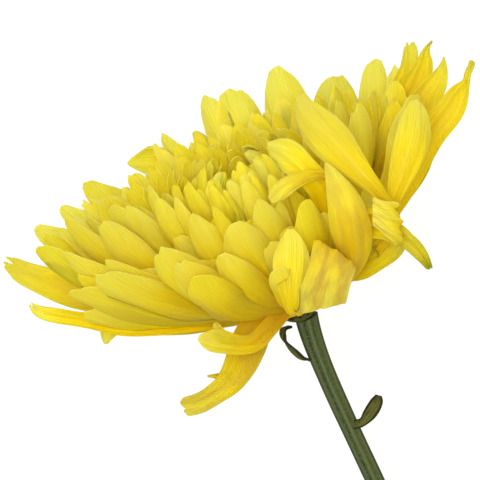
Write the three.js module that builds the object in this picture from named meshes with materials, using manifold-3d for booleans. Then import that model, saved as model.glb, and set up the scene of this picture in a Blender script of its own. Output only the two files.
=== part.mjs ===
// A cut disbud chrysanthemum lying on its side: one large yellow bloom on a ribbed green stem.
// Lengths are in millimetres, and angles in the lists are in degrees.
// Every petal is worked out in the bloom's own frame: z runs up the axis from the top of the stem,
// y points to the back of the bloom, and x points across it. lay() turns that frame onto the table.
import * as THREE from 'three';
import Module from 'manifold-3d';

const wasm = await Module();
wasm.setup();

// How the flower lies: its axis rises from the table by this angle, from the stem's cut end to the bloom.
const AXIS_RISE = THREE.MathUtils.degToRad(17.5);
const RISE_SIN = Math.sin(AXIS_RISE);
const RISE_COS = Math.cos(AXIS_RISE);

const STEM_LENGTH = 140;
const STEM_RADIUS = 2.4;
const NECK_RADIUS = 3.1;
const SEAM = 0.3;
// Faces narrower than this that fusing leaves are merged into their neighbours.
const SLIVER = 0.01;

// Height of the top of the stem above the table while the cut end's lower edge rests on it.
const NECK_HEIGHT = STEM_RADIUS * RISE_COS + STEM_LENGTH * RISE_SIN;
// Where the top of the stem lies from the middle of the whole flower's footprint.
const NECK_ALONG = 35.57;
const NECK_ACROSS = 0.29;

const BRACT_CUP_HEIGHT = 2.7;
const BRACT_CUP_RADIUS = 5.4;
const BRACT_COUNT = 13;
const BRACT_LOBE = 0.1;
const BRACT_RIM = 0.4;
// The cup's foot stands this far out of the stem, and its side bulges at these shares of its size.
const BRACT_FOOT = 0.2;
const BRACT_BULGE = { radius: 0.8, height: 0.26 };
const CORE_BASE = SEAM + BRACT_CUP_HEIGHT + SEAM;

// The petals root on a small dome: the lower a petal points, the lower on the dome it starts.
const DOME_RADIUS = 9;
const DOME_HEIGHT = 4.5;
const DOME_SPREAD = 1.35;
const LOWEST_ROOT = THREE.MathUtils.degToRad(88);
const PETAL_CHANNEL = 0.26;
// Thickness of a petal along its middle, and the least share of it that a narrow end keeps.
const PETAL_THICKNESS = 1.2;
const END_THICKNESS = 0.7;
const PETAL_HANDLE = 0.36;
const PETAL_NECK = 0.3;
const PETAL_FULL = 0.66;
const PETAL_SWELL = 1.2;
const TWIST_DONE = 0.45;
// Where along its length a folded petal's fold line turns from its first direction to its last.
const FOLD_TURNS = [0.4, 0.85];
// How far a bent petal's point stands beyond its last station.
const BENT_POINT = 0.6;

// Shares of a petal's length at which its outline is set, for a petal that shows and for one that fills.
const SHOWN_SHARES = [0.14, 0.38, 0.64, 0.85, 0.96];
const FILL_SHARES = [0.2, 0.55, 0.9];

const YELLOW = 0xe6d228;
const BRACT_GREEN = 0x2e3a20;
const STEM_GREEN = 0x4c6040;

// Where each tip form starts to narrow, how blunt it is, the power of its rounding, how far its point
// stands to the left, and how much of its width is left where a bent petal's last station closes.
const TIP_FORMS = {
  round: { first: 0.74, blunt: 2, power: 0.5, aside: 0, last: 0.7 },
  left: { first: 0.72, blunt: 1.8, power: 0.55, aside: 0.4, last: 0.6 },
  right: { first: 0.72, blunt: 1.8, power: 0.55, aside: -0.4, last: 0.6 },
  notched: { first: 0.76, blunt: 2.6, power: 0.5, aside: 0, last: 0.7 },
  ragged: { first: 0.78, blunt: 2.4, power: 0.5, aside: 0.2, last: 0.4 },
  point: { first: 0.62, blunt: 1.6, power: 0.62, aside: 0, last: 0.5 },
  square: { aside: 0, last: 0.95 },
  cut: { aside: 0, last: 0.98 },
  slender: { aside: 0, last: 0.7 },
};

// Petals that show from the side, each by its tip: across, up and back as the side view shows it,
// then width, curl along the length, sideways lean, twist and tip form.
const SHOWN_PETALS = [
  // back rim, left to right
  [-54.1, 49.6, 30, 10.5, 22, 0, -25, 'left'],
  [-46.0, 51.9, 40, 9.5, 20, 0, -20, 'left'],
  [-40.3, 51.3, 36, 7, 20, 0, -15, 'notched'],
  [-37.5, 55.4, 46, 11, 22, 0, -15, 'left'],
  [-24.3, 52.0, 50, 7, 18, 0, 0, 'ragged'],
  [-17.1, 56.9, 50, 6.5, 20, 0, 0, 'left'],
  [-13.5, 58.2, 54, 8, 20, 1, 0, 'left'],
  [-5.8, 56.2, 54, 7, 20, -1, 0, 'left'],
  [0.9, 63.1, 57, 10, 14, 0, 0, 'left'],
  [6.5, 62.6, 56, 13.5, 14, 0, 0, 'round'],
  [20.8, 62.8, 55, 13.5, 14, -3, 0, 'left'],
  [32.6, 55, 50, 14, 22, -2, 15, 'round'],
  [44.1, 54.7, 44, 10, 20, -4, 20, 'round'],
  [48.8, 50.2, 36, 7, 18, -3, 25, 'left'],
  // ring in front of the back rim
  [-48.5, 46.5, 14, 9, 24, 0, -30, 'point'],
  [-35.0, 49.5, 34, 9, 24, 0, -15, 'round'],
  [-24.0, 50.8, 36, 7, 24, 0, 0, 'point'],
  [-18.5, 50.0, 38, 8, 24, 0, 0, 'point'],
  [-13.0, 51.5, 42, 8.5, 24, 0, 0, 'left'],
  [-5.5, 49.5, 40, 8, 26, 2.2, 0, 'point'],
  [1.5, 54.5, 44, 10, 24, 0, 0, 'left'],
  [11.0, 53.5, 44, 10, 24, 0, 0, 'ragged'],
  [18.0, 54.8, 40, 9, 24, 0, 0, 'round'],
  [40.0, 46.7, 10, 11.5, 26, 0, -40, 'round'],
  [46.5, 46.6, 18, 9.5, 22, -2, 30, 'round'],
  // left side, outer faces showing
  [-54.4, 44.0, -8, 9.5, 28, 0, 55, 'round'],
  [-50.2, 30.2, -34, 10.5, 16, 0, 35, 'round'],
  [-43.2, 31.4, -38, 11.5, 18, 0, 35, 'round'],
  [-45.2, 47.8, -6, 9.5, 30, 0, 50, 'point'],
  [-37.3, 43.0, -14, 10.5, 30, 0, 45, 'left'],
  [-39.5, 33.8, -30, 9, 24, 0, 40, 'point'],
  [-29.6, 44.3, -10, 10, 32, 0, 45, 'round'],
  [-21.3, 43.0, -14, 9, 34, 0, 35, 'point'],
  [-25.5, 31.2, -38, 12, 28, -3, 20, 'round'],
  [-22.6, 26.4, -42, 10, 24, -3, 15, 'round'],
  [-33.5, 46.0, -6, 9, 28, 0, 45, 'left'],
  [-40.5, 46.5, 2, 9, 28, 0, 45, 'round'],
  [-48.5, 40.0, -22, 9.5, 26, 0, 45, 'point'],
  [-50.7, 23.4, -24, 9.4, 14, 0, 40, 'round'],
  // middle of the front
  [-19.8, 21.3, -48, 11, 20, -4, 15, 'round'],
  [-15.0, 35.8, -28, 10.5, 32, 0, 15, 'point'],
  [-13.2, 43.6, -12, 7.5, 36, 0, 10, 'round'],
  [-8.0, 40.8, -16, 6.5, 36, 0, 0, 'point'],
  [-3.2, 40.3, -14, 6, 36, 0, 0, 'round'],
  [-7.8, 29.4, -36, 12, 30, 0, 0, 'left'],
  [1.2, 32.5, -32, 10.5, 32, 0, 0, 'point'],
  [2.0, 40.0, -12, 6, 36, 0, 0, 'left'],
  [-1.4, 14.8, -50, 7, 18, 0, 0, 'round'],
  // right side, outer faces showing
  [30.5, 51.8, 2, 10.5, 30, 0, -40, 'round'],
  [48.5, 41.5, -6, 10.5, 26, 0, -50, 'round'],
  [11.5, 28.2, -40, 9.5, 32, 0, 0, 'round'],
  [25.5, 43.0, -14, 9.5, 32, 0, -30, 'left'],
  [34.0, 45.0, -8, 9.5, 30, 0, -45, 'round'],
];

// Petals with a bend or a droop of their own, each by stations from root to tip: across, up and near
// in the side view, then half width. After them: turn from root to tip, channel and tip form. A petal
// that is folded across has its fold's direction too, across and up, at its start and at its end.
const BENT_PETALS = {
  left_end: {
    stations: [[-7, 6.5, 1, 2], [-25, 14, 6, 3.4], [-41, 23.2, 9, 4.2], [-52, 31, 11, 4.2],
                 [-59.3, 37.8, 12, 3.3], [-64.3, 44.6, 12, 2.4]],
    turn: [0, 0], channel: 0.18, form: 'ragged',
  },
  left_hook: {
    stations: [[-7, 5.6, 3, 2], [-24, 10.4, 16, 3], [-40, 16, 23, 3], [-50, 21.5, 26, 2.1],
                 [-56.3, 25.5, 27, 1.9], [-60.2, 28.4, 27, 1.5], [-61.8, 31.6, 27, 1]],
    turn: [0, 0], channel: 0.2, form: 'ragged',
  },
  left_low_tip: {
    stations: [[-7, 5, 2, 1.5], [-22, 9.8, 11, 2.4], [-35, 14.4, 16, 3.1], [-43.5, 18, 18, 2.8],
                 [-46.3, 17, 18, 2.4], [-48.7, 14.1, 17, 1.4]],
    turn: [0, 0], channel: 0.18, form: 'round',
  },
  folded_rim: {
    stations: [[-3, 7, -8, 2], [-8, 26, -28, 3.4], [-12.5, 43, -36, 3.8], [-17, 51.2, -37, 3.7],
                 [-21, 53.4, -37, 3.9], [-25.8, 55.3, -36, 2.1]],
    turn: [0, 0], channel: 0.2, form: 'right',
  },
  right_rim_torn: {
    stations: [[6, 8, -6, 2], [22, 22, -14, 3], [38, 36, -17, 3.6], [48.4, 45.3, -16, 2.8],
                 [52.3, 50.4, -15, 2.1], [53.6, 54.7, -15, 2]],
    turn: [0, 0], channel: 0.16, form: 'ragged',
  },
  right_rim_spiked: {
    stations: [[6, 8, -4, 2], [24, 22, -8, 3], [40, 34, -8, 3.8], [50, 42.4, -6, 3.8],
                 [54, 46.8, -5, 2.5], [55.8, 49.6, -5, 1.3], [57.2, 51, -5, 0.6], [58.8, 51.9, -5, 0.3]],
    turn: [0, 0], channel: 0.16, form: 'slender',
  },
  right_rim_tooth: {
    stations: [[7, 7, -2, 2], [24, 18, -2, 3], [40, 29.6, 0, 3.8], [49.2, 37.2, 1, 3.9],
                 [54.9, 41.3, 1, 3], [58.1, 44.3, 1, 1.8], [59.7, 47, 1, 0.9]],
    turn: [0, 0], channel: 0.16, form: 'point',
  },
  right_end: {
    stations: [[7, 6, 0, 2], [22, 12.3, 6, 3.1], [35.9, 20.6, 11, 3.6], [47.2, 29.3, 14, 3.7],
                 [54.5, 33.5, 15, 3.6], [58.6, 36.5, 15, 2.7], [61.5, 38.5, 15, 1.1], [62.8, 40.3, 15, 0.9],
                 [64.2, 41.6, 15, 0.9], [65.2, 43, 15, 0.8]],
    turn: [0, 0], channel: 0.16, form: 'slender',
  },
  long_bellied: {
    stations: [[6, 5, 6, 2], [19, 8, 30, 2.2], [30, 15.5, 42, 1.3], [29.4, 21.5, 47, 1.9],
                 [26.6, 29, 48, 3.4], [23.4, 38, 44, 5], [21, 46, 37, 4.9], [20.8, 52.4, 29, 3.8]],
    turn: [0, 15], channel: -0.22, form: 'round',
  },
  outer_oval: {
    stations: [[7, 4, 4, 2], [22, 9, 30, 2.2], [31.5, 18, 41, 1.9], [36.6, 23.6, 43, 3.2],
                 [42, 29.6, 42, 4.6], [45.4, 35, 38, 4.4], [47.2, 39.8, 33, 3.2]],
    turn: [0, -10], channel: -0.14, form: 'round',
  },
  beige_bellied: {
    stations: [[4, 5, 6, 2.4], [12, 5.8, 32, 2.7], [17.7, 10.8, 44.5, 4.4], [20, 18.5, 50.5, 5],
                 [20.6, 26.5, 50.5, 4.3], [20.3, 34.1, 46, 2.6]],
    turn: [0, 0], channel: -0.14, form: 'point',
  },
  hood: {
    stations: [[5, 8, 4, 2], [14, 16, 26, 3], [17, 26, 38, 3.4], [14.6, 34.6, 42, 3.7],
                 [12, 40, 38, 3.8], [8.6, 44, 31, 3]],
    turn: [0, 20], channel: -0.14, form: 'round',
  },
  level_tongue: {
    stations: [[6, 6, 6, 1.8], [20, 13, 30, 2], [22, 24, 38, 1.6], [19.4, 30.4, 42, 1.2],
                 [15.4, 32.4, 46, 1.4], [11, 32.7, 48, 2.1], [7, 31.8, 48, 2.6], [3.6, 30.4, 46, 2.3]],
    turn: [0, 0], channel: -0.1, form: 'round',
  },
  apron: {
    stations: [[4, 5.5, 8, 2.6], [8, 8.8, 30, 4], [12.2, 12, 43, 5.2], [13.8, 12.9, 47.5, 5.7],
                 [12.9, 11.4, 50.8, 5.9], [10, 8.2, 52, 6.2], [7, 4.8, 51.6, 6.4], [4.4, 0.9, 50, 6.6]],
    turn: [0, 0], channel: 0.05, form: 'cut',
    foldLine: [[0.57, -0.82], [0.98, -0.21]],
  },
  front_riser: {
    stations: [[1, 5, 9, 2], [0.6, 3.6, 28, 2.2], [-0.6, 2.5, 41, 2.2], [-1.8, 2.4, 47.4, 2.1],
                 [-1, 5.8, 50.2, 2.7], [0.6, 10, 50.8, 3.7], [2.6, 14.6, 50.2, 4.5], [4.6, 19, 48.4, 4.1],
                 [6, 22.6, 46, 2.6]],
    turn: [0, 0], channel: -0.12, form: 'round',
    foldLine: [[0.92, -0.4], [0.92, -0.4]],
  },
  golden_crescent: {
    stations: [[4, 5, 4, 2], [13.5, 8.1, 24, 3.6], [20.3, 8.3, 33, 4.9], [26, 9.2, 36, 4.6],
                 [29.8, 10.8, 36, 3.2]],
    turn: [0, 0], channel: 0.2, form: 'square',
  },
  crumpled_bow: {
    stations: [[7, 5, 8, 2], [13, 12, 28, 2.4], [19.5, 16.2, 39, 3], [26.4, 15, 46, 4],
                 [30.9, 12.2, 49.4, 5.2], [30.2, 13.3, 51.8, 5], [28.1, 15.4, 52.6, 4.3],
                 [26, 18.4, 51.6, 3.7]],
    turn: [0, 0], channel: 0.06, form: 'cut',
    foldLine: [[-0.16, -0.99], [-0.45, -0.89]],
  },
  green_tipped: {
    stations: [[6, 4, 5, 1.6], [20, 8, 30, 2], [28.4, 11.5, 42, 2.2], [31.3, 7.9, 43.5, 2.1],
                 [33, 3.4, 43, 1.6], [33.8, -0.9, 41, 0.8]],
    turn: [0, 0], channel: 0.2, form: 'square',
  },
  drooping_long: {
    stations: [[-4, 4.5, 2, 2], [-9, 4.2, 10, 3.3], [-12.6, 2.2, 15, 4.3], [-15.9, -0.8, 19, 4.6],
                 [-19.4, -4.2, 22, 4], [-23.4, -6.9, 23.5, 3.4], [-27.8, -8.2, 24, 2.9],
                 [-32.5, -8.8, 24.5, 2.7], [-37.2, -8, 24, 2.4]],
    turn: [0, 0], channel: 0.12, form: 'square',
  },
  drooping_curled: {
    stations: [[-3, 4, 8, 2], [-8.8, 1.6, 22, 2.3], [-13.2, -0.1, 30, 2.4], [-16.9, 0.6, 34, 2.4],
                 [-20.2, 2.5, 36, 2.8], [-23.3, 4.8, 37, 3.2], [-26.1, 6.9, 37, 2.3]],
    turn: [0, 0], channel: 0.16, form: 'right',
  },
  drooping_flap: {
    stations: [[-18.4, 1.6, 34.2, 1.3], [-20.2, 3.9, 35.3, 1.7], [-20.8, 5.8, 36.3, 1.5],
                 [-20.6, 8.4, 37, 1.1]],
    turn: [0, 0], channel: 0.16, form: 'round',
  },
  drooping_spur: {
    stations: [[-22.5, -5.8, 22, 1.4], [-24.6, -4.9, 22.4, 1.1], [-26.4, -4.1, 22.8, 0.6],
                 [-28, -3.4, 23, 0.3]],
    turn: [0, 0], channel: 0.1, form: 'slender',
  },
};

// Rings of petals that fill the bloom: how many, the radius and height of their tips, width, curl,
// and the turn and span of the ring round the axis.
const FILL_RINGS = [
  { count: 9, radius: 57.5, high: 33.5, width: 11, curl: 18, start: 16, span: 166 },
  { count: 6, radius: 46.8, high: 41.4, width: 10, curl: 22, start: 20, span: 160 },
  { count: 6, radius: 41, high: 44, width: 9, curl: 24, start: 31, span: 150 },
  { count: 5, radius: 38, high: 40, width: 10, curl: 26, start: 205, span: 155 },
  { count: 10, radius: 29, high: 46, width: 8, curl: 30, start: 0, span: 360 },
  { count: 9, radius: 21, high: 46, width: 7, curl: 38, start: 14, span: 360 },
  { count: 8, radius: 12, high: 46.5, width: 6.5, curl: 52, start: 0, span: 360 },
  { count: 6, radius: 5, high: 46, width: 6, curl: 60, start: 30, span: 360 },
  { count: 6, radius: 8.5, high: 45.5, width: 6, curl: 56, start: 12, span: 360 },
];
const FILL_FORMS = ['round', 'left', 'right', 'point', 'notched'];
const FILL_SEED = 20771;
// How far the draw spreads a filling petal's place in its ring, its tip, width, lean and twist.
const SPREAD = { place: 0.35, radius: 3, high: 3, width: 0.2, lean: 7, twist: 44 };
// Twist that turns a petal's face to the axis: at the sides of the back half and of the front half.
const BACK_FACE = 35;
const FRONT_FACE = -45;
const BACK_STARTS = 4;
// Rings wider than this stay lower and nearer the axis in front, behind the petals that show.
const INNER_RING = 15;
const FRONT_FILL_DROP = 7;
const FRONT_FILL_PULL = 3;

const UP = new THREE.Vector3(0, 0, 1);
// Straight up from the table, in the bloom's own frame.
const OFF_TABLE = new THREE.Vector3(0, -RISE_COS, RISE_SIN);

// Turns a point of the bloom's frame into the place where it lies on the table.
function lay(point) {
  const along = point.y * RISE_SIN + point.z * RISE_COS;
  return [along + NECK_ALONG, -point.x + NECK_ACROSS, heightOf(point)];
}

function heightOf(point) {
  return point.dot(OFF_TABLE) + NECK_HEIGHT;
}

// A small draw of numbers from 0 to 1, the same at every build.
function makeDraw(seed) {
  let state = seed;
  return () => {
    state = (state * 16807) % 2147483647;
    return state / 2147483647;
  };
}

function shownPetals() {
  return SHOWN_PETALS.map(([across, up, back, width, curl, lean, twist, form]) => ({
    tip: new THREE.Vector3(across, back, (up - back * RISE_SIN) / RISE_COS),
    width, curl, lean, twist, form, shares: SHOWN_SHARES,
  }));
}

function fillPetals() {
  const draw = makeDraw(FILL_SEED);
  const petals = [];
  for (const ring of FILL_RINGS) {
    for (let i = 0; i < ring.count; i += 1) {
      const place = (i + SPREAD.place * (draw() - 0.5)) / ring.count;
      const turn = THREE.MathUtils.degToRad(ring.start + ring.span * place);
      let radius = ring.radius + SPREAD.radius * (draw() - 0.5);
      let high = ring.high + SPREAD.high * (draw() - 0.5);
      const width = ring.width * (1 + SPREAD.width * (draw() - 0.5));
      const lean = SPREAD.lean * (draw() - 0.5);
      const back = radius * Math.sin(turn);
      if (back < 0 && ring.radius > INNER_RING) {
        high -= FRONT_FILL_DROP;
        radius -= FRONT_FILL_PULL;
      }
      const side = Math.cos(turn);
      const face = back > BACK_STARTS ? BACK_FACE * side : FRONT_FACE * side;
      const twist = face + SPREAD.twist * (draw() - 0.5);
      const form = FILL_FORMS[Math.floor(draw() * FILL_FORMS.length)];
      petals.push({
        tip: new THREE.Vector3(radius * side, radius * Math.sin(turn), high),
        width, curl: ring.curl, lean, twist, form, shares: FILL_SHARES,
      });
    }
  }
  return petals;
}

// The four handles of a petal's middle line, and the sideways direction at its root.
function petalSpine(petal) {
  const { tip } = petal;
  const reach = Math.hypot(tip.x, tip.y);
  const outward = new THREE.Vector3(tip.x / reach, tip.y / reach, 0);
  const sideways = new THREE.Vector3().crossVectors(UP, outward);
  const seat = Math.min(LOWEST_ROOT, DOME_SPREAD * Math.atan2(reach, tip.z - DOME_HEIGHT));
  const root = outward.clone().multiplyScalar(DOME_RADIUS * Math.sin(seat));
  root.z = DOME_HEIGHT + DOME_RADIUS * Math.cos(seat);
  const chord = tip.clone().sub(root);
  const angle = Math.atan2(chord.dot(outward), chord.z);
  const curl = THREE.MathUtils.degToRad(petal.curl);
  const handle = chord.length() * PETAL_HANDLE;
  const heading = (a) => outward.clone().multiplyScalar(Math.sin(a)).addScaledVector(UP, Math.cos(a));
  const shift = sideways.clone().multiplyScalar(petal.lean);
  const early = root.clone().addScaledVector(heading(angle + curl), handle).add(shift);
  const late = tip.clone().addScaledVector(heading(angle - curl), -handle).add(shift);
  return { curve: new THREE.CubicBezierCurve3(root, early, late, tip), sideways };
}

// Half width of a petal at a share of its length.
function halfWidth(petal, share) {
  const { first, blunt, power } = TIP_FORMS[petal.form];
  const swell = Math.sin((Math.min(1, share / PETAL_FULL) * Math.PI) / 2) ** PETAL_SWELL;
  const beyond = Math.max(0, (share - first) / (1 - first));
  const close = Math.max(0, 1 - beyond ** blunt) ** power;
  return (petal.width / 2) * (PETAL_NECK + (1 - PETAL_NECK) * swell) * close;
}

// A direction across a petal and its inner-face normal at a share of its length.
function petalFrame(petal, spine, share) {
  const tangent = new THREE.Vector3();
  const { v0, v1, v2, v3 } = spine.curve;
  const rest = 1 - share;
  tangent.addScaledVector(v1.clone().sub(v0), rest * rest);
  tangent.addScaledVector(v2.clone().sub(v1), 2 * rest * share);
  tangent.addScaledVector(v3.clone().sub(v2), share * share);
  tangent.normalize();
  const across = spine.sideways.clone().addScaledVector(tangent, -spine.sideways.dot(tangent)).normalize();
  const inner = new THREE.Vector3().crossVectors(tangent, across);
  const eased = THREE.MathUtils.smoothstep(share, 0, TWIST_DONE);
  const turn = THREE.MathUtils.degToRad(petal.twist) * eased;
  const turnedAcross = across.clone().multiplyScalar(Math.cos(turn)).addScaledVector(inner, Math.sin(turn));
  const turnedInner = inner.multiplyScalar(Math.cos(turn)).addScaledVector(across, -Math.sin(turn));
  return { across: turnedAcross, inner: turnedInner };
}

// The rows of corners that a petal's blade is built on: left edge, outer face, right edge, inner face.
function petalRows(petal) {
  const spine = petalSpine(petal);
  const rows = petal.shares.map((share) => {
    const middle = spine.curve.getPoint(share);
    const { across, inner } = petalFrame(petal, spine, share);
    const half = halfWidth(petal, share);
    const rim = middle.clone().addScaledVector(inner, PETAL_CHANNEL * 2 * half);
    const thick = (PETAL_THICKNESS / 2) * Math.min(1, END_THICKNESS + half / petal.width);
    return {
      share,
      half,
      corners: [
        rim.clone().addScaledVector(across, -half),
        middle.clone().addScaledVector(inner, -thick),
        rim.clone().addScaledVector(across, half),
        middle.clone().addScaledVector(inner, thick),
      ],
    };
  });
  const { across } = petalFrame(petal, spine, 1);
  const aside = TIP_FORMS[petal.form].aside * rows.at(-1).half;
  rows.push({ share: 1, corners: [spine.curve.getPoint(1).addScaledVector(across, aside)] });
  return rows;
}

// A point of the side view's frame, which has x across, up, and near the viewer, in the bloom's own.
function fromSideView(across, up, near) {
  return new THREE.Vector3(across, up * RISE_SIN - near * RISE_COS, up * RISE_COS + near * RISE_SIN);
}

// The rows of corners of a petal that is set by stations: one row at each, then a point. A petal that
// folds back over itself does so about a fold line, given by its direction across and up.
function bentRows({ stations, turn, channel, form, foldLine }) {
  const middles = stations.map(([across, up, near]) => fromSideView(across, up, near));
  const last = stations.length - 1;
  const rows = stations.map(([, , , width], i) => {
    const heading = middles[Math.min(last, i + 1)].clone().sub(middles[Math.max(0, i - 1)]).normalize();
    const level = new THREE.Vector3().crossVectors(heading, OFF_TABLE);
    if (foldLine) {
      const [from, to] = foldLine.map((way) => fromSideView(...way, 0));
      level.lerpVectors(from, to, THREE.MathUtils.smoothstep(i / last, ...FOLD_TURNS));
    }
    level.normalize();
    const upright = new THREE.Vector3().crossVectors(level, heading).normalize();
    const angle = THREE.MathUtils.degToRad(turn[0] + (turn[1] - turn[0]) * (i / last));
    const across = level.clone().multiplyScalar(Math.cos(angle)).addScaledVector(upright, Math.sin(angle));
    const normal = upright.multiplyScalar(Math.cos(angle)).addScaledVector(level, -Math.sin(angle));
    const half = i === last ? width * TIP_FORMS[form].last : width;
    const rim = middles[i].clone().addScaledVector(normal, channel * 2 * half);
    const thick = (PETAL_THICKNESS / 2) * (i === last ? END_THICKNESS : 1);
    return {
      heading,
      across,
      half,
      corners: [
        rim.clone().addScaledVector(across, -half),
        middles[i].clone().addScaledVector(normal, -thick),
        rim.clone().addScaledVector(across, half),
        middles[i].clone().addScaledVector(normal, thick),
      ],
    };
  });
  const { heading, across, half } = rows[last];
  const point = middles[last].clone().addScaledVector(heading, BENT_POINT);
  rows.push({ corners: [point.addScaledVector(across, -TIP_FORMS[form].aside * half)] });
  return rows;
}

// A petal that would pass through the table is bent up, the more the nearer to its tip.
function bendOffTable(rows) {
  let lift = 0;
  for (const { share, corners } of rows) {
    for (const corner of corners) {
      lift = Math.max(lift, -heightOf(corner) / share ** 2);
    }
  }
  for (const { share, corners } of rows) {
    for (const corner of corners) {
      corner.addScaledVector(OFF_TABLE, lift * share ** 2);
    }
  }
}

function solidFrom(points, triangles) {
  const flat = new Float32Array(points.flat());
  const faces = triangles.map((face) => [...face]);
  if (signedVolume(points, faces) < 0) {
    faces.forEach((face) => face.reverse());
  }
  return new wasm.Manifold(new wasm.Mesh({
    numProp: 3,
    vertProperties: flat,
    triVerts: new Uint32Array(faces.flat()),
  }));
}

function signedVolume(points, faces) {
  let total = 0;
  for (const [a, b, c] of faces) {
    const [p, q, r] = [points[a], points[b], points[c]].map((corner) => new THREE.Vector3(...corner));
    total += p.dot(q.cross(r));
  }
  return total / 6;
}

// Closes rows of four corners into one blade that ends in a point. Both faces are split alike.
function bladeSolid(rows) {
  const points = rows.flatMap((row) => row.corners.map(lay));
  const triangles = [[0, 1, 2], [0, 2, 3]];
  const last = rows.length - 2;
  for (let k = 0; k < last; k += 1) {
    const here = 4 * k;
    const next = here + 4;
    for (const [edge, face] of [[0, 1], [0, 3], [2, 1], [2, 3]]) {
      const outerTurn = (edge === 0) === (face === 3);
      const first = [here + edge, next + edge, next + face];
      const second = [here + edge, next + face, here + face];
      triangles.push(outerTurn ? first.reverse() : first, outerTurn ? second.reverse() : second);
    }
  }
  const base = 4 * last;
  const point = base + 4;
  for (let i = 0; i < 4; i += 1) {
    triangles.push([base + i, point, base + ((i + 1) % 4)]);
  }
  return solidFrom(points, triangles);
}

// Closes rings of equal counts into one tube with flat ends.
function tubeSolid(rings) {
  const count = rings[0].length;
  const points = rings.flat().map(lay);
  const triangles = [];
  for (let k = 0; k + 1 < rings.length; k += 1) {
    for (let i = 0; i < count; i += 1) {
      const a = k * count + i;
      const b = k * count + ((i + 1) % count);
      triangles.push([a, b, b + count], [a, b + count, a + count]);
    }
  }
  const end = (rings.length - 1) * count;
  for (let i = 1; i + 1 < count; i += 1) {
    triangles.push([0, i + 1, i], [end, end + i, end + i + 1]);
  }
  return solidFrom(points, triangles);
}

function fuse(solids) {
  let batch = solids;
  while (batch.length > 1) {
    const next = [];
    for (let i = 0; i < batch.length; i += 2) {
      next.push(i + 1 < batch.length ? batch[i].add(batch[i + 1]) : batch[i]);
    }
    batch = next;
  }
  return batch[0];
}

// The largest body of a fused solid. Slivers are merged, loose scraps are dropped and hollows that
// fusing sealed are filled.
function mainBody(solid) {
  const bodies = solid.simplify(SLIVER).decompose();
  return bodies.reduce((best, body) => (body.volume() > best.volume() ? body : best));
}

function meshFrom(solid, name, material) {
  const { vertProperties, triVerts, numProp } = solid.getMesh();
  const count = vertProperties.length / numProp;
  const positions = new Float32Array(count * 3);
  for (let i = 0; i < count; i += 1) {
    positions.set(vertProperties.subarray(i * numProp, i * numProp + 3), i * 3);
  }
  const geometry = new THREE.BufferGeometry();
  geometry.setAttribute('position', new THREE.BufferAttribute(positions, 3));
  geometry.setIndex([...triVerts]);
  geometry.computeVertexNormals();
  const mesh = new THREE.Mesh(geometry, material);
  mesh.name = name;
  return mesh;
}

function ring(radius, z, sides, bump = () => 1) {
  const points = [];
  for (let i = 0; i < sides; i += 1) {
    const turn = (i / sides) * 2 * Math.PI;
    const r = radius * bump(turn);
    points.push(new THREE.Vector3(r * Math.cos(turn), r * Math.sin(turn), z));
  }
  return points;
}

// The core that the petals stand out of, by radius and height, with a hollow in its top.
const CORE_PROFILE = [[8, CORE_BASE], [14, 5.5], [20, 10], [25.5, 17], [25.5, 25], [20, 29], [8, 24]];
const CORE_SIDES = 18;

function receptacle() {
  return tubeSolid(CORE_PROFILE.map(([radius, z]) => ring(radius, z, CORE_SIDES)));
}

function bloom() {
  const blades = [...shownPetals(), ...fillPetals()].map((petal) => {
    const rows = petalRows(petal);
    bendOffTable(rows);
    return bladeSolid(rows);
  });
  const bent = Object.values(BENT_PETALS).map((petal) => bladeSolid(bentRows(petal)));
  const material = new THREE.MeshStandardMaterial({ color: YELLOW, roughness: 0.6, metalness: 0 });
  return meshFrom(mainBody(fuse([receptacle(), ...blades, ...bent])), 'bloom', material);
}

// The shallow green cup of bracts under the petals.
function involucre() {
  const sides = BRACT_COUNT * 2;
  const base = SEAM;
  const top = SEAM + BRACT_CUP_HEIGHT;
  const lobed = (turn) => 1 + BRACT_LOBE * Math.cos(BRACT_COUNT * turn);
  const cup = tubeSolid([
    ring(NECK_RADIUS + BRACT_FOOT, base, sides),
    ring(BRACT_CUP_RADIUS * BRACT_BULGE.radius, base + BRACT_CUP_HEIGHT * BRACT_BULGE.height, sides),
    ring(BRACT_CUP_RADIUS, top - BRACT_RIM, sides, lobed),
    ring(BRACT_CUP_RADIUS, top, sides, lobed),
  ]);
  const material = new THREE.MeshStandardMaterial({ color: BRACT_GREEN, roughness: 0.7, metalness: 0 });
  return meshFrom(cup, 'involucre', material);
}

const RIB_COUNT = 8;
const RIB_DEPTH = 0.07;
const STEM_SIDES = RIB_COUNT * 4;
// The stem's middle line: a bend at the neck that dies away, a steady slope across and a slight sway.
const NECK_BEND = 2.1;
const NECK_BEND_DEPTH = 9;
const STEM_START = -1.1;
const STEM_SLOPE = 0.031;
const STEM_SWAY = 0.6;
const NECK_FLARE_DEPTH = 12;

function stemMiddle(z) {
  const across = NECK_BEND * Math.exp(z / NECK_BEND_DEPTH) + STEM_START - STEM_SLOPE * z;
  return new THREE.Vector3(across, STEM_SWAY * Math.sin((Math.PI * -z) / STEM_LENGTH), z);
}

function stemRadius(z) {
  return STEM_RADIUS + (NECK_RADIUS - STEM_RADIUS) * Math.exp(z / NECK_FLARE_DEPTH);
}

function stemTube() {
  const depths = [0, 3, 7, 12, 20, 30, 45, 60, 80, 100, 120, STEM_LENGTH];
  const ribbed = (turn) => 1 + RIB_DEPTH * (Math.cos(RIB_COUNT * turn) - 1) / 2;
  return tubeSolid(depths.map((depth) => {
    const middle = stemMiddle(-depth);
    return ring(stemRadius(-depth), 0, STEM_SIDES, ribbed).map((point) => point.add(middle));
  }));
}

// Half the thickness of a withered leaf along its middle.
const LEAF_THICK = 0.5;

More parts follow.
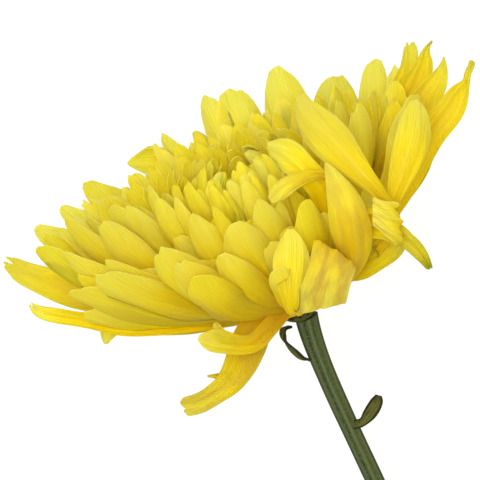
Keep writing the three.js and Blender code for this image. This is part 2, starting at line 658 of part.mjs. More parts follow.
// A small withered leaf: rows of four corners along its middle line, seen from the side.
function witheredLeaf(path, widths) {
  const rows = path.map(([x, y, z], i) => {
    const before = new THREE.Vector3(...path[Math.max(0, i - 1)]);
    const after = new THREE.Vector3(...path[Math.min(path.length - 1, i + 1)]);
    const run = after.sub(before).normalize();
    const { across, face } = leafFrame(run, widths.turn);
    const middle = new THREE.Vector3(x, y, z);
    if (i === path.length - 1) {
      return { corners: [middle] };
    }
    return {
      corners: [
        middle.clone().addScaledVector(across, -widths.half[i]),
        middle.clone().addScaledVector(face, -LEAF_THICK),
        middle.clone().addScaledVector(across, widths.half[i]),
        middle.clone().addScaledVector(face, LEAF_THICK),
      ],
    };
  });
  return bladeSolid(rows);
}

function leafFrame(run, turn) {
  const toViewer = new THREE.Vector3(0, -1, 0);
  const side = toViewer.addScaledVector(run, -toViewer.dot(run)).normalize();
  const other = new THREE.Vector3().crossVectors(run, side);
  const across = side.clone().multiplyScalar(Math.cos(turn)).addScaledVector(other, Math.sin(turn));
  const face = other.multiplyScalar(Math.cos(turn)).addScaledVector(side, -Math.sin(turn));
  return { across, face };
}

function upperLeaf() {
  const path = [[-1, 0, -12.2], [-3, 0, -10.9], [-4.7, 0, -9.3], [-6, 0, -6.1], [-6.7, 0, -3.4],
    [-6.5, 0, -1.6], [-5.6, 0, -0.7], [-4.6, 0, -0.5], [-3.4, 0, -1]];
  return witheredLeaf(path, { half: [1.6, 1.8, 1.9, 2.1, 2.1, 1.9, 1.6, 1.1], turn: 0.1 });
}

function lowerLeaf() {
  const path = [[0.3, -1.2, -31.2], [2.1, -2.2, -31.4], [3.7, -2.6, -31.2], [5.5, -2.7, -30.2],
    [7.3, -2.6, -29], [8.9, -2.4, -27.7], [9.9, -2.3, -26.5]];
  return witheredLeaf(path, { half: [0.9, 1, 1.3, 1.9, 1.9, 1.2], turn: 1.2 });
}

function leafyStem() {
  const material = new THREE.MeshStandardMaterial({ color: STEM_GREEN, roughness: 0.75, metalness: 0 });
  return meshFrom(mainBody(fuse([stemTube(), upperLeaf(), lowerLeaf()])), 'leafy_stem', material);
}

const flower = new THREE.Group();
flower.name = 'disbud_chrysanthemum';
flower.add(bloom(), involucre(), leafyStem());

export default flower;
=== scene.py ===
"""A cut disbud chrysanthemum lying on its side: one large yellow bloom on a ribbed green stem.

Petals are worked out in millimetres, in one of two frames, and laid on the table in metres:
the bloom's own frame has z up the axis, y to the back and x across it, and the side view's frame
has x across, w up and h towards whoever looks down on the lying flower.
"""

import math

import bpy
import numpy as np
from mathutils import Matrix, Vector


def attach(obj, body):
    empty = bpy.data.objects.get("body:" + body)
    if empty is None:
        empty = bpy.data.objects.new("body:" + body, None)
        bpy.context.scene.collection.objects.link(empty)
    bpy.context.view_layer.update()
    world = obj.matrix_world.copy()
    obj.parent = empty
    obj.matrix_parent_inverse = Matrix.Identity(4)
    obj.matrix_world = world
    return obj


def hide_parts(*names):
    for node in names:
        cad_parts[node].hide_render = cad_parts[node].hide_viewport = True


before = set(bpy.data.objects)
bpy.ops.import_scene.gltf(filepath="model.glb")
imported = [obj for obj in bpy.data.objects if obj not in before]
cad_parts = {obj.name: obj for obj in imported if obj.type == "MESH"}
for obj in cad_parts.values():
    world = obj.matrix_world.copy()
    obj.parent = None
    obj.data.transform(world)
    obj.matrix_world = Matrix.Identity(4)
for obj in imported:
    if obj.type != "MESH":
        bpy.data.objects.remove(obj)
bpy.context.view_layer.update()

MM = 0.001
UP = np.array([0.0, 0.0, 1.0])
# How far the bloom's axis rises from the table.
AXIS_RISE = math.radians(17.5)
RISE_SIN = math.sin(AXIS_RISE)
RISE_COS = math.cos(AXIS_RISE)

# The stem, and within what depth it flares to its neck under the bloom.
STEM_LENGTH = 140
STEM_RADIUS = 2.4
NECK_RADIUS = 3.1
NECK_FLARE = 12
# The neck's place. It is as high as it takes for the stem's cut end to touch the table.
NECK_HEIGHT = STEM_RADIUS * RISE_COS + STEM_LENGTH * RISE_SIN
NECK_ALONG = 35.57
NECK_ACROSS = 0.29
# The stem's middle line: its bend at the neck and the depth of that, its place below, lean and bow.
NECK_BEND = 2.1
NECK_BEND_DEPTH = 9
STEM_ASIDE = 1.1
STEM_LEAN = 0.031
STEM_BOW = 0.6
# Ribs of the stem, deep by a share of its radius, finer ribs between them, whose wave drifts by so
# many radians for each millimetre, a slight ripple along it, and the main ribs' share of its pattern.
RIB_COUNT = 8
RIB_DEPTH = 0.07
RIB_ROUNDING = 0.7
FINE_RIB_COUNT = 3 * RIB_COUNT
FINE_RIB_DEPTH = 0.012
FINE_RIB_DRIFT = 0.02
RIPPLE_DEPTH = 0.008
RIPPLE_RATE = 0.31
RIBS_SHOW = 0.75

# The cup of bracts: how many in a row, the distance of their feet from the axis, half their width,
# thickness, hollow, lean, the powers of their rise and of their rounding, and for each row its
# radius and the heights of tips and feet.
BRACT_COUNT = 13
BRACT_FOOT = 1.9
BRACT_HALF_WIDTH = 1.5
BRACT_SKIN = 0.45
BRACT_CUPPING = 0.24
BRACT_LEAN = 0.3
BRACT_RISE = 1.6
BRACT_ROUNDING = 0.6
BRACT_ROWS = [(5.4, 2.9, 0.25), (4.4, 2.5, 0.35)]

# The petals root on a small dome: the lower a petal points, the lower on the dome it starts.
DOME_RADIUS = 9
DOME_HEIGHT = 4.5
DOME_SPREAD = 1.35
LOWEST_ROOT = math.radians(88)
# The dome's outline, by radius and height.
DOME_PROFILE = [(5, 3.3), (7.4, 3.7), (8.6, 4.8), (8.4, 6.6), (7.2, 9.2), (5, 11.4), (2, 12.8)]

# A petal's hollow as a share of its width, its curve's handles as a share of its length, its width
# at the root as a share of its full width, the share of its length where it reaches that, how that
# varies, the power of its swelling, and where its twist is complete.
PETAL_CHANNEL = 0.26
PETAL_HANDLE = 0.36
PETAL_NECK = 0.3
PETAL_FULL = 0.66
FULL_VARIES = (0.72, 1.12)
SWELL_POWER = 1.2
TWIST_DONE = 0.45
# Where along its length a folded petal's fold line turns from its first direction to its last.
FOLD_TURNS = (0.4, 0.85)
# How deep a petal's ridges are, the broad ridges' share of that, how deep the waves of its rim are
# as a share of half its width, and how far its edges go in and out.
RIDGE_DEPTH = 0.42
BROAD_RIDGES = 0.6
WAVE_DEPTH = 0.13
EDGE_WAVER = 0.05
# How lopsided a petal's hollow may be, how far its ridges may drift aside, and, in radians, the rates
# of its waves, ridges and edges, and where they start.
TILT_VARIES = (-0.3, 0.3)
DRIFT_VARIES = (-0.6, 0.6)
WAVE_RATES = (8, 15)
BROAD_RATES = (5, 8)
CLOSE_RATES = (11, 16)
EDGE_RATES = (9, 17)
STARTS = (0, 6)
# Thickness of a petal at its middle, the shares of it that are left at the rim and at the tip, and
# the angles above which an edge is sharp, on petals and leaves, and on the stem and dome.
SKIN = 0.42
SKIN_AT_RIM = 0.5
SKIN_AT_TIP = 0.6
SHARP_RIM = 60
SHARP_END = 50
# The width of a common petal. Wider petals have more veins.
COMMON_WIDTH = 9
# How high the lowest petals stay above the table.
TABLE_GAP = 0.3

# Where each tip form starts to narrow, how blunt it is, the power of its rounding, how much further
# one side ends than the other, and how deep its notches are.
TIP_FORMS = {
    "round": (0.74, 2, 0.5, 0, 0.014),
    "left": (0.72, 1.8, 0.55, 0.11, 0.012),
    "right": (0.72, 1.8, 0.55, -0.11, 0.012),
    "notched": (0.76, 2.6, 0.5, 0, 0.045),
    "ragged": (0.78, 2.4, 0.5, 0.05, 0.06),
    "point": (0.62, 1.6, 0.62, 0, 0.005),
    "oval": (0.7, 1.75, 0.6, 0, 0.02),
    "square": (0.93, 3, 0.4, 0, 0.02),
    "cut": (0.975, 3, 0.4, 0, 0.01),
    "slender": (0.96, 2, 0.5, 0, 0),
}
# How much a tip's slant varies either way, and, for half a petal's width, how far aside a notch may
# be, how wide it is and through how many radians the ripples run.
SLANT_VARIES = 0.05
NOTCH_ASIDE = 0.25
NOTCH_WIDTH = 0.17
TIP_RIPPLES = 13

# Petals that show from the side, each by its tip: across, up and back as the side view shows it,
# then width, curl along the length, sideways lean, twist and tip form.
SHOWN_PETALS = {
    "petals_back_rim": [
        (-54.1, 49.6, 30, 10.5, 22, 0, -25, "left"),
        (-46, 51.9, 40, 9.5, 20, 0, -20, "left"),
        (-40.3, 51.3, 36, 7, 20, 0, -15, "notched"),
        (-37.5, 55.4, 46, 11, 22, 0, -15, "left"),
        (-24.3, 52, 50, 7, 18, 0, 0, "ragged"),
        (-17.1, 56.9, 50, 6.5, 20, 0, 0, "left"),
        (-13.5, 58.2, 54, 8, 20, 1, 0, "left"),
        (-5.8, 56.2, 54, 7, 20, -1, 0, "left"),
        (0.9, 63.1, 57, 10, 14, 0, 0, "left"),
        (6.5, 62.6, 56, 13.5, 14, 0, 0, "round"),
        (20.8, 62.8, 55, 13.5, 14, -3, 0, "left"),
        (32.6, 55, 50, 14, 22, -2, 15, "round"),
        (44.1, 54.7, 44, 10, 20, -4, 20, "round"),
        (48.8, 50.2, 36, 7, 18, -3, 25, "left"),
    ],
    "petals_second_ring": [
        (-48.5, 46.5, 14, 9, 24, 0, -30, "point"),
        (-35, 49.5, 34, 9, 24, 0, -15, "round"),
        (-24, 50.8, 36, 7, 24, 0, 0, "point"),
        (-18.5, 50, 38, 8, 24, 0, 0, "point"),
        (-13, 51.5, 42, 8.5, 24, 0, 0, "left"),
        (-5.5, 49.5, 40, 8, 26, 2.2, 0, "point"),
        (1.5, 54.5, 44, 10, 24, 0, 0, "left"),
        (11, 53.5, 44, 10, 24, 0, 0, "ragged"),
        (18, 54.8, 40, 9, 24, 0, 0, "round"),
        (40, 46.7, 10, 11.5, 26, 0, -40, "round"),
        (46.5, 46.6, 18, 9.5, 22, -2, 30, "round"),
    ],
    "petals_left": [
        (-54.4, 44, -8, 9.5, 28, 0, 55, "round"),
        (-50.2, 30.2, -34, 10.5, 16, 0, 35, "round"),
        (-43.2, 31.4, -38, 11.5, 18, 0, 35, "oval"),
        (-45.2, 47.8, -6, 9.5, 30, 0, 50, "point"),
        (-37.3, 43, -14, 10.5, 30, 0, 45, "left"),
        (-39.5, 33.8, -30, 9, 24, 0, 40, "point"),
        (-29.6, 44.3, -10, 10, 32, 0, 45, "oval"),
        (-21.3, 43, -14, 9, 34, 0, 35, "point"),
        (-25.5, 31.2, -38, 12, 28, -3, 20, "oval"),
        (-22.6, 26.4, -42, 10, 24, -3, 15, "oval"),
        (-33.5, 46, -6, 9, 28, 0, 45, "left"),
        (-40.5, 46.5, 2, 9, 28, 0, 45, "oval"),
        (-48.5, 40, -22, 9.5, 26, 0, 45, "point"),
        (-50.7, 23.4, -24, 9.4, 14, 0, 40, "round"),
    ],
    "petals_middle": [
        (-19.8, 21.3, -48, 11, 20, -4, 15, "oval"),
        (-15, 35.8, -28, 10.5, 32, 0, 15, "point"),
        (-13.2, 43.6, -12, 7.5, 36, 0, 10, "oval"),
        (-8, 40.8, -16, 6.5, 36, 0, 0, "point"),
        (-3.2, 40.3, -14, 6, 36, 0, 0, "oval"),
        (-7.8, 29.4, -36, 12, 30, 0, 0, "left"),
        (1.2, 32.5, -32, 10.5, 32, 0, 0, "point"),
        (2, 40, -12, 6, 36, 0, 0, "left"),
        (-1.4, 14.8, -50, 7, 18, 0, 0, "round"),
    ],
    "petals_right": [
        (30.5, 51.8, 2, 10.5, 30, 0, -40, "oval"),
        (48.5, 41.5, -6, 10.5, 26, 0, -50, "round"),
        (11.5, 28.2, -40, 9.5, 32, 0, 0, "oval"),
        (25.5, 43, -14, 9.5, 32, 0, -30, "left"),
        (34, 45, -8, 9.5, 30, 0, -45, "oval"),
    ],
    "petals_between": [
        (-22.3, 46.7, -8, 7, 34, 0, 30, "point"),
        (-9.6, 35.2, -29, 6.5, 32, 0, 0, "point"),
        (-17.4, 41.4, -17, 6.5, 34, 0, 15, "point"),
        (-0.4, 38.2, -20, 6, 36, 0, 0, "left"),
        (6.5, 37.2, -20, 6.5, 36, 0, 0, "point"),
        (11, 39.6, -11, 6.5, 36, 0, -10, "oval"),
        (19, 46, -6, 7.5, 34, 0, -25, "point"),
        (29, 47, -6, 8, 32, 0, -40, "left"),
        (-12.6, 24, -41, 9, 24, 0, 5, "oval"),
        (-47.5, 33, -26, 9, 22, 0, 40, "point"),
        (-52.6, 46.2, 12, 8, 24, 0, -20, "round"),
        (-45.6, 48.2, 26, 7, 24, 0, -20, "round"),
        (-54.2, 39.8, -6, 8, 24, 0, 40, "round"),
    ],
}

# Petals with a bend or a droop of their own, each by a path from root to tip: across, up and near
# in the side view, then half width. After it: any turn from root to tip, channel, any tip form but
# round, and mood, which is how pale, how beige and how green the petal is. A fold line is where the
# petal's width points, across and up, before and after its fold. A crease deepens its ridges.
BENT_PETALS = {
    "left_end": {
        "path": [(-7, 6.5, 1, 2), (-25, 14, 6, 3.4), (-41, 23.2, 9, 4.2), (-52, 31, 11, 4.2),
                 (-59.3, 37.8, 12, 3.3), (-64.3, 44.6, 12, 2.4)],
        "channel": 0.18, "form": "ragged", "mood": (0.2, 0.5, 0.2),
    },
    "left_hook": {
        "path": [(-7, 5.6, 3, 2), (-24, 10.4, 16, 3), (-40, 16, 23, 3), (-50, 21.5, 26, 2.1),
                 (-56.3, 25.5, 27, 1.9), (-60.2, 28.4, 27, 1.5), (-61.8, 31.6, 27, 1)],
        "channel": 0.2, "form": "ragged", "mood": (0.7, 0, 0),
    },
    "left_low_tip": {
        "path": [(-7, 5, 2, 1.5), (-22, 9.8, 11, 2.4), (-35, 14.4, 16, 3.1), (-43.5, 18, 18, 2.8),
                 (-46.3, 17, 18, 2.4), (-48.7, 14.1, 17, 1.4)],
        "channel": 0.18, "mood": (0.5, 0, 0),
    },
    "folded_rim": {
        "path": [(-3, 7, -8, 2), (-8, 26, -28, 3.4), (-12.5, 43, -36, 3.8), (-17, 51.2, -37, 3.7),
                 (-21, 53.4, -37, 3.9), (-25.8, 55.3, -36, 2.1)],
        "channel": 0.2, "form": "right", "mood": (0.3, 0, 0),
    },
    "right_rim_torn": {
        "path": [(6, 8, -6, 2), (22, 22, -14, 3), (38, 36, -17, 3.6), (48.4, 45.3, -16, 2.8),
                 (52.3, 50.4, -15, 2.1), (53.6, 54.7, -15, 2)],
        "channel": 0.16, "form": "ragged", "mood": (0.4, 0.3, 0.14),
    },
    "right_rim_spiked": {
        "path": [(6, 8, -4, 2), (24, 22, -8, 3), (40, 34, -8, 3.8), (50, 42.4, -6, 3.8),
                 (54, 46.8, -5, 2.5), (55.8, 49.6, -5, 1.3), (57.2, 51, -5, 0.6), (58.8, 51.9, -5, 0.3)],
        "channel": 0.16, "form": "slender", "mood": (0.4, 0.3, 0.14),
    },
    "right_rim_tooth": {
        "path": [(7, 7, -2, 2), (24, 18, -2, 3), (40, 29.6, 0, 3.8), (49.2, 37.2, 1, 3.9),
                 (54.9, 41.3, 1, 3), (58.1, 44.3, 1, 1.8), (59.7, 47, 1, 0.9)],
        "channel": 0.16, "form": "point", "mood": (0.4, 0.3, 0.16),
    },
    "right_end": {
        "path": [(7, 6, 0, 2), (22, 12.3, 6, 3.1), (35.9, 20.6, 11, 3.6), (47.2, 29.3, 14, 3.7),
                 (54.5, 33.5, 15, 3.6), (58.6, 36.5, 15, 2.7), (61.5, 38.5, 15, 1.1), (62.8, 40.3, 15, 0.9),
                 (64.2, 41.6, 15, 0.9), (65.2, 43, 15, 0.8)],
        "channel": 0.16, "form": "slender", "mood": (0.4, 0.25, 0.2),
    },
    "long_bellied": {
        "path": [(6, 5, 6, 2), (19, 8, 30, 2.2), (30, 15.5, 42, 1.3), (29.4, 21.5, 47, 1.9),
                 (26.6, 29, 48, 3.4), (23.4, 38, 44, 5), (21, 46, 37, 4.9), (20.8, 52.4, 29, 3.8)],
        "turn": (0, 15), "channel": -0.22, "mood": (0.8, 0.5, 0),
    },
    "outer_oval": {
        "path": [(7, 4, 4, 2), (22, 9, 30, 2.2), (31.5, 18, 41, 1.9), (36.6, 23.6, 43, 3.2),
                 (42, 29.6, 42, 4.6), (45.4, 35, 38, 4.4), (47.2, 39.8, 33, 3.2)],
        "turn": (0, -10), "channel": -0.14, "mood": (0.8, 0.3, 0),
    },
    "beige_bellied": {
        "path": [(4, 5, 6, 2.4), (12, 5.8, 32, 2.7), (17.7, 10.8, 44.5, 4.4), (20, 18.5, 50.5, 5),
                 (20.6, 26.5, 50.5, 4.3), (20.3, 34.1, 46, 2.6)],
        "channel": -0.14, "form": "point", "mood": (0.5, 0.8, 0),
    },
    "hood": {
        "path": [(5, 8, 4, 2), (14, 16, 26, 3), (17, 26, 38, 3.4), (14.6, 34.6, 42, 3.7), (12, 40, 38, 3.8),
                 (8.6, 44, 31, 3)],
        "turn": (0, 20), "channel": -0.14, "mood": (0.7, 0, 0),
    },
    "level_tongue": {
        "path": [(6, 6, 6, 1.8), (20, 13, 30, 2), (22, 24, 38, 1.6), (19.4, 30.4, 42, 1.2),
                 (15.4, 32.4, 46, 1.4), (11, 32.7, 48, 2.1), (7, 31.8, 48, 2.6), (3.6, 30.4, 46, 2.3)],
        "channel": -0.1, "mood": (1, 0.6, 0),
    },
    "apron": {
        "path": [(4, 5.5, 8, 2.6), (8, 8.8, 30, 4), (12.2, 12, 43, 5.2), (13.8, 12.9, 47.5, 5.7),
                 (12.9, 11.4, 50.8, 5.9), (10, 8.2, 52, 6.2), (7, 4.8, 51.6, 6.4), (4.4, 0.9, 50, 6.6)],
        "channel": 0.05, "form": "cut", "mood": (0.5, 1.3, 0),
        "fold_line": ((0.57, -0.82), (0.98, -0.21)),
    },
    "front_riser": {
        "path": [(1, 5, 9, 2), (0.6, 3.6, 28, 2.2), (-0.6, 2.5, 41, 2.2), (-1.8, 2.4, 47.4, 2.1),
                 (-1, 5.8, 50.2, 2.7), (0.6, 10, 50.8, 3.7), (2.6, 14.6, 50.2, 4.5), (4.6, 19, 48.4, 4.1),
                 (6, 22.6, 46, 2.6)],
        "channel": -0.12, "mood": (0.5, 0.2, 0),
        "fold_line": ((0.92, -0.4), (0.92, -0.4)),
    },
    "golden_crescent": {
        "path": [(4, 5, 4, 2), (13.5, 8.1, 24, 3.6), (20.3, 8.3, 33, 4.9), (26, 9.2, 36, 4.6),
                 (29.8, 10.8, 36, 3.2)],
        "channel": 0.2, "form": "square", "mood": (0.1, 0.5, 0),
    },
    "crumpled_bow": {
        "path": [(7, 5, 8, 2), (13, 12, 28, 2.4), (19.5, 16.2, 39, 3), (26.4, 15, 46, 4),
                 (30.9, 12.2, 49.4, 5.2), (30.2, 13.3, 51.8, 5), (28.1, 15.4, 52.6, 4.3),
                 (26, 18.4, 51.6, 3.7)],
        "channel": 0.06, "form": "cut", "mood": (0.9, 0.1, 0), "crease": 3,
        "fold_line": ((-0.16, -0.99), (-0.45, -0.89)),
    },
    "green_tipped": {
        "path": [(6, 4, 5, 1.6), (20, 8, 30, 2), (28.4, 11.5, 42, 2.2), (31.3, 7.9, 43.5, 2.1),
                 (33, 3.4, 43, 1.6), (33.8, -0.9, 41, 0.8)],
        "channel": 0.2, "form": "square", "mood": (0.5, 0.3, 1),
    },
    "drooping_long": {
        "path": [(-4, 4.5, 2, 2), (-9, 4.2, 10, 3.3), (-12.6, 2.2, 15, 4.3), (-15.9, -0.8, 19, 4.6),
                 (-19.4, -4.2, 22, 4), (-23.4, -6.9, 23.5, 3.4), (-27.8, -8.2, 24, 2.9),
                 (-32.5, -8.8, 24.5, 2.7), (-37.2, -8, 24, 2.4)],
        "channel": 0.12, "form": "square", "mood": (0.1, 0.9, 0),
    },
    "drooping_curled": {
        "path": [(-3, 4, 8, 2), (-8.8, 1.6, 22, 2.3), (-13.2, -0.1, 30, 2.4), (-16.9, 0.6, 34, 2.4),
                 (-20.2, 2.5, 36, 2.8), (-23.3, 4.8, 37, 3.2), (-26.1, 6.9, 37, 2.3)],
        "channel": 0.16, "form": "right", "mood": (0.6, 0.5, 0),
    },
    "drooping_flap": {
        "path": [(-18.4, 1.6, 34.2, 1.3), (-20.2, 3.9, 35.3, 1.7), (-20.8, 5.8, 36.3, 1.5),
                 (-20.6, 8.4, 37, 1.1)],
        "channel": 0.16, "mood": (0.7, 0.6, 0),
    },
    "drooping_spur": {
        "path": [(-22.5, -5.8, 22, 1.4), (-24.6, -4.9, 22.4, 1.1), (-26.4, -4.1, 22.8, 0.6),
                 (-28, -3.4, 23, 0.3)],
        "channel": 0.1, "form": "slender", "mood": (0.5, 0.6, 0),
    },
}

# Rings of petals that fill the bloom: how many, the radius and height of their tips, width, curl,
# and the turn and span of the ring round the axis.
FILL_RINGS = [
    (9, 57.5, 33.5, 11, 18, 16, 166),
    (6, 46.8, 41.4, 10, 22, 20, 160),
    (6, 41, 44, 9, 24, 31, 150),
    (5, 38, 40, 10, 26, 205, 155),
    (10, 29, 46, 8, 30, 0, 360),
    (9, 21, 46, 7, 38, 14, 360),
    (8, 12, 46.5, 6.5, 52, 0, 360),
    (6, 5, 46, 6, 60, 30, 360),
    (6, 8.5, 45.5, 6, 56, 12, 360),
]
# Finer rings between those, with the same columns.
DEEP_RINGS = [
    (13, 54, 34, 9.5, 20, 12.5, 166),
    (12, 45, 42, 8.5, 22, 12, 170),
    (13, 37, 45.5, 8, 28, 5, 175),
    (10, 33, 40, 9, 28, 195, 170),
    (14, 25.5, 46.5, 6.5, 34, 10, 360),
    (14, 17, 47, 6, 44, 0, 360),
    (12, 14, 45.5, 5.5, 50, 8, 360),
    (10, 9, 46.5, 5.5, 58, 20, 360),
    (8, 5, 44.5, 5, 64, 0, 360),
    (6, 2.5, 43, 4.5, 66, 15, 360),
]
FILL_FORMS = ("oval", "left", "right", "point", "notched")
FILL_SEED = 20771
DEEP_SEED = 4409
DETAIL_SEED = 911
# In rings wider than this, the petals in front sit lower and further in than those behind.
WIDE_RING = 15
FRONT_FILL_DROP = 7
FRONT_FILL_PULL = 3
# How far back a petal counts as one behind, and the twist of those behind and of the others at a
# ring's right side, in degrees. Towards the left side it turns to its opposite.
BEHIND_FROM = 4
BACK_TWIST = 35
FRONT_TWIST = -45
# How much a ring's petals vary either way: turn as a share of their spacing, reach, lean and twist.
TURN_VARIES = 0.175
REACH_VARIES = 1.5
LEAN_VARIES = 3.5
TWIST_VARIES = 22

# The two withered leaves: path from root to tip in the bloom's frame, with half widths, turn about it
# at its start and end, in radians, and cup.
WITHERED_LEAVES = [
    {
        "path": [(-1, 0, -12.2, 1.8), (-3, 0, -10.9, 1.8), (-4.7, 0, -9.3, 1.9), (-6, 0, -6.1, 2.1),
                 (-6.7, 0, -3.4, 2.1), (-6.5, 0, -1.6, 1.9), (-5.6, 0, -0.7, 1.6),
                 (-4.6, 0, -0.5, 1.1), (-3.4, 0, -1, 0.3)],
        "turn": (0.55, 0.1), "cup": 0.12,
    },
    {
        "path": [(0.3, -1.2, -31.2, 1.2), (2.1, -2.2, -31.4, 1.2), (3.7, -2.6, -31.2, 1.2),
                 (5.5, -2.7, -30.2, 1.7), (7.3, -2.6, -29, 1.8), (8.9, -2.4, -27.7, 1.6),
                 (9.9, -2.3, -26.5, 0.8)],
        "turn": (1.2, 1.2), "cup": 0.3,
    },
]
# Thickness, depth of the crinkles as a share of half the width, and their rates along and across.
LEAF_SKIN = 0.7
LEAF_CRINKLE = 0.12
CRINKLE_RATES = (19, 2)

# Rows of points along and across each kind of piece.
SHOWN_GRID = (34, 15)
BENT_GRID = (44, 19)
FILL_GRID = (26, 13)
DEEP_GRID = (22, 11)
LEAF_GRID = (34, 9)
BRACT_GRID = (12, 7)
STEM_GRID = (150, 128)
DOME_STRIPS = 48


def make_draw(seed):
    """A small draw of numbers within a range, the same at every run."""
    factor = 16807
    prime = 2147483647
    state = seed

    def draw(low=0, high=1):
        nonlocal state
        state = (state * factor) % prime
        return low + (high - low) * (state / prime)

    return draw


def lay(points):
    """Points of the bloom's own frame, in millimetres, as they lie on the table, in metres."""
    x, y, z = np.moveaxis(points, -1, 0)
    along = y * RISE_SIN + z * RISE_COS + NECK_ALONG
    height = -y * RISE_COS + z * RISE_SIN + NECK_HEIGHT
    return np.stack([along, NECK_ACROSS - x, height], -1) * MM


def stand(points):
    """Points of the side view's frame, in millimetres, as they lie on the table, in metres."""
    x, w, h = np.moveaxis(points, -1, 0)
    return np.stack([w + NECK_ALONG, NECK_ACROSS - x, h + NECK_HEIGHT], -1) * MM


def unit(v):
    return v / np.maximum(np.linalg.norm(v, axis=-1, keepdims=True), 1e-9)


def turned(across, normal, angle):
    """Two directions square to each other, both turned by an angle in their own plane."""
    cos = np.cos(angle)[..., None]
    sin = np.sin(angle)[..., None]
    return across * cos + normal * sin, normal * cos - across * sin


def smoothstep(x, low, high):
    t = np.clip((x - low) / (high - low), 0, 1)
    return t * t * (3 - 2 * t)


def bezier(handles, t):
    a, b, c, d = handles
    t = t[..., None]
    return a * (1 - t) ** 3 + 3 * b * t * (1 - t) ** 2 + 3 * c * t * t * (1 - t) + d * t ** 3


def bezier_heading(handles, t):
    a, b, c, d = handles
    t = t[..., None]
    return unit((b - a) * (1 - t) ** 2 + 2 * (c - b) * t * (1 - t) + (d - c) * t * t)


def through(stations, t):
    """A smooth line through stations, of any number of columns, at shares of its length."""
    stations = np.array(stations, float)
    first = 2 * stations[0] - stations[1]
    last = 2 * stations[-1] - stations[-2]
    p = np.vstack([first, stations, last])
    reach = np.clip(t, 0, 1) * (len(stations) - 1)
    k = np.minimum(reach.astype(int), len(stations) - 2)
    u = (reach - k)[..., None]
    p0, p1, p2, p3 = p[k], p[k + 1], p[k + 2], p[k + 3]
    return p1 + 0.5 * u * (p2 - p0 + u * (2 * p0 - 5 * p1 + 4 * p2 - p3 + u * (3 * (p1 - p2) + p3 - p0)))


def heading_through(stations, t, step):
    """The direction of that line, taken from a step before each share to a step after it."""
    return unit(through(stations, t + step)[..., :3] - through(stations, t - step)[..., :3])


def tip_outline(form, aside, draw):
    """The share of a petal's length at which each strip across it ends."""
    first, blunt, power, slant, notch = TIP_FORMS[form]
    close = np.clip(1 - np.abs(aside) ** (1 / power), 0, 1) ** (1 / blunt)
    end = first + (1 - first) * close
    body = 1 - aside ** 4
    slant = slant + draw(-SLANT_VARIES, SLANT_VARIES)
    end = end + slant * aside / 2 * body
    notch_place = draw(-NOTCH_ASIDE, NOTCH_ASIDE)
    end = end - notch * np.exp(-((aside - notch_place) / NOTCH_WIDTH) ** 2)
    ripple = 0.5 + 0.5 * np.sin(TIP_RIPPLES * aside + draw(*STARTS))
    return end - 0.5 * notch * ripple * body


def petal_grid(grid, form, draw):
    """Shares along and places across a petal for a grid whose last row is the tip's outline."""
    rows, strips = grid
    aside = np.sin(np.linspace(-1, 1, strips) * math.pi / 2)
    along = np.linspace(0, 1, rows)
    end = tip_outline(form, aside, draw)
    share = along[:, None] * end[None, :]
    return share, np.broadcast_to(aside, share.shape)


def sheet_grid(grid):
    """Shares along and places across a sheet whose end is straight."""
    rows, strips = grid
    share = np.linspace(0, 1, rows)[:, None] * np.ones(strips)
    return share, np.broadcast_to(np.linspace(-1, 1, strips), share.shape)


def seat_on_dome(tip):
    """Where a petal starts on the dome, its outward direction and its sideways direction."""
    reach = math.hypot(tip[0], tip[1])
    outward = np.array([tip[0] / reach, tip[1] / reach, 0])
    seat = min(LOWEST_ROOT, DOME_SPREAD * math.atan2(reach, tip[2] - DOME_HEIGHT))
    root = outward * DOME_RADIUS * math.sin(seat)
    root[2] = DOME_HEIGHT + DOME_RADIUS * math.cos(seat)
    return root, outward, np.cross(UP, outward)


def petal_handles(petal):
    """The four handles of the curve from a petal's root to its tip, and its sideways direction."""
    tip = petal["tip"]
    root, outward, sideways = seat_on_dome(tip)
    chord = tip - root
    angle = math.atan2(chord @ outward, chord[2])
    curl = math.radians(petal["curl"])
    handle = np.linalg.norm(chord) * PETAL_HANDLE
    shift = sideways * petal["lean"]
    early = root + handle * (outward * math.sin(angle + curl) + UP * math.cos(angle + curl)) + shift
    late = tip - handle * (outward * math.sin(angle - curl) + UP * math.cos(angle - curl)) + shift
    return (root, early, late, tip), sideways


def rule_petal(petal, grid, draw):
    """Middle surface and inner normals of a petal that is set by its tip, in the bloom's frame."""
    handles, sideways = petal_handles(petal)
    share, aside = petal_grid(grid, petal["form"], draw)
    heading = bezier_heading(handles, share)
    across = unit(sideways - (heading @ sideways)[..., None] * heading)
    twist = math.radians(petal["twist"]) * smoothstep(share, 0, TWIST_DONE)
    across, inner = turned(across, np.cross(heading, across), twist)
    full = PETAL_FULL * draw(*FULL_VARIES)
    swell = np.sin(np.minimum(1, share / full) * math.pi / 2) ** SWELL_POWER
    half = petal["width"] / 2 * (PETAL_NECK + (1 - PETAL_NECK) * swell)
    rise, ridge = relief(PETAL_CHANNEL, half, share, aside, draw)
    reach = half * aside * wavering_edge(share, aside, draw)
    surface = bezier(handles, share) + across * reach[..., None] + inner * rise[..., None]
    return lift_off_table(surface, share), inner, share, aside, ridge


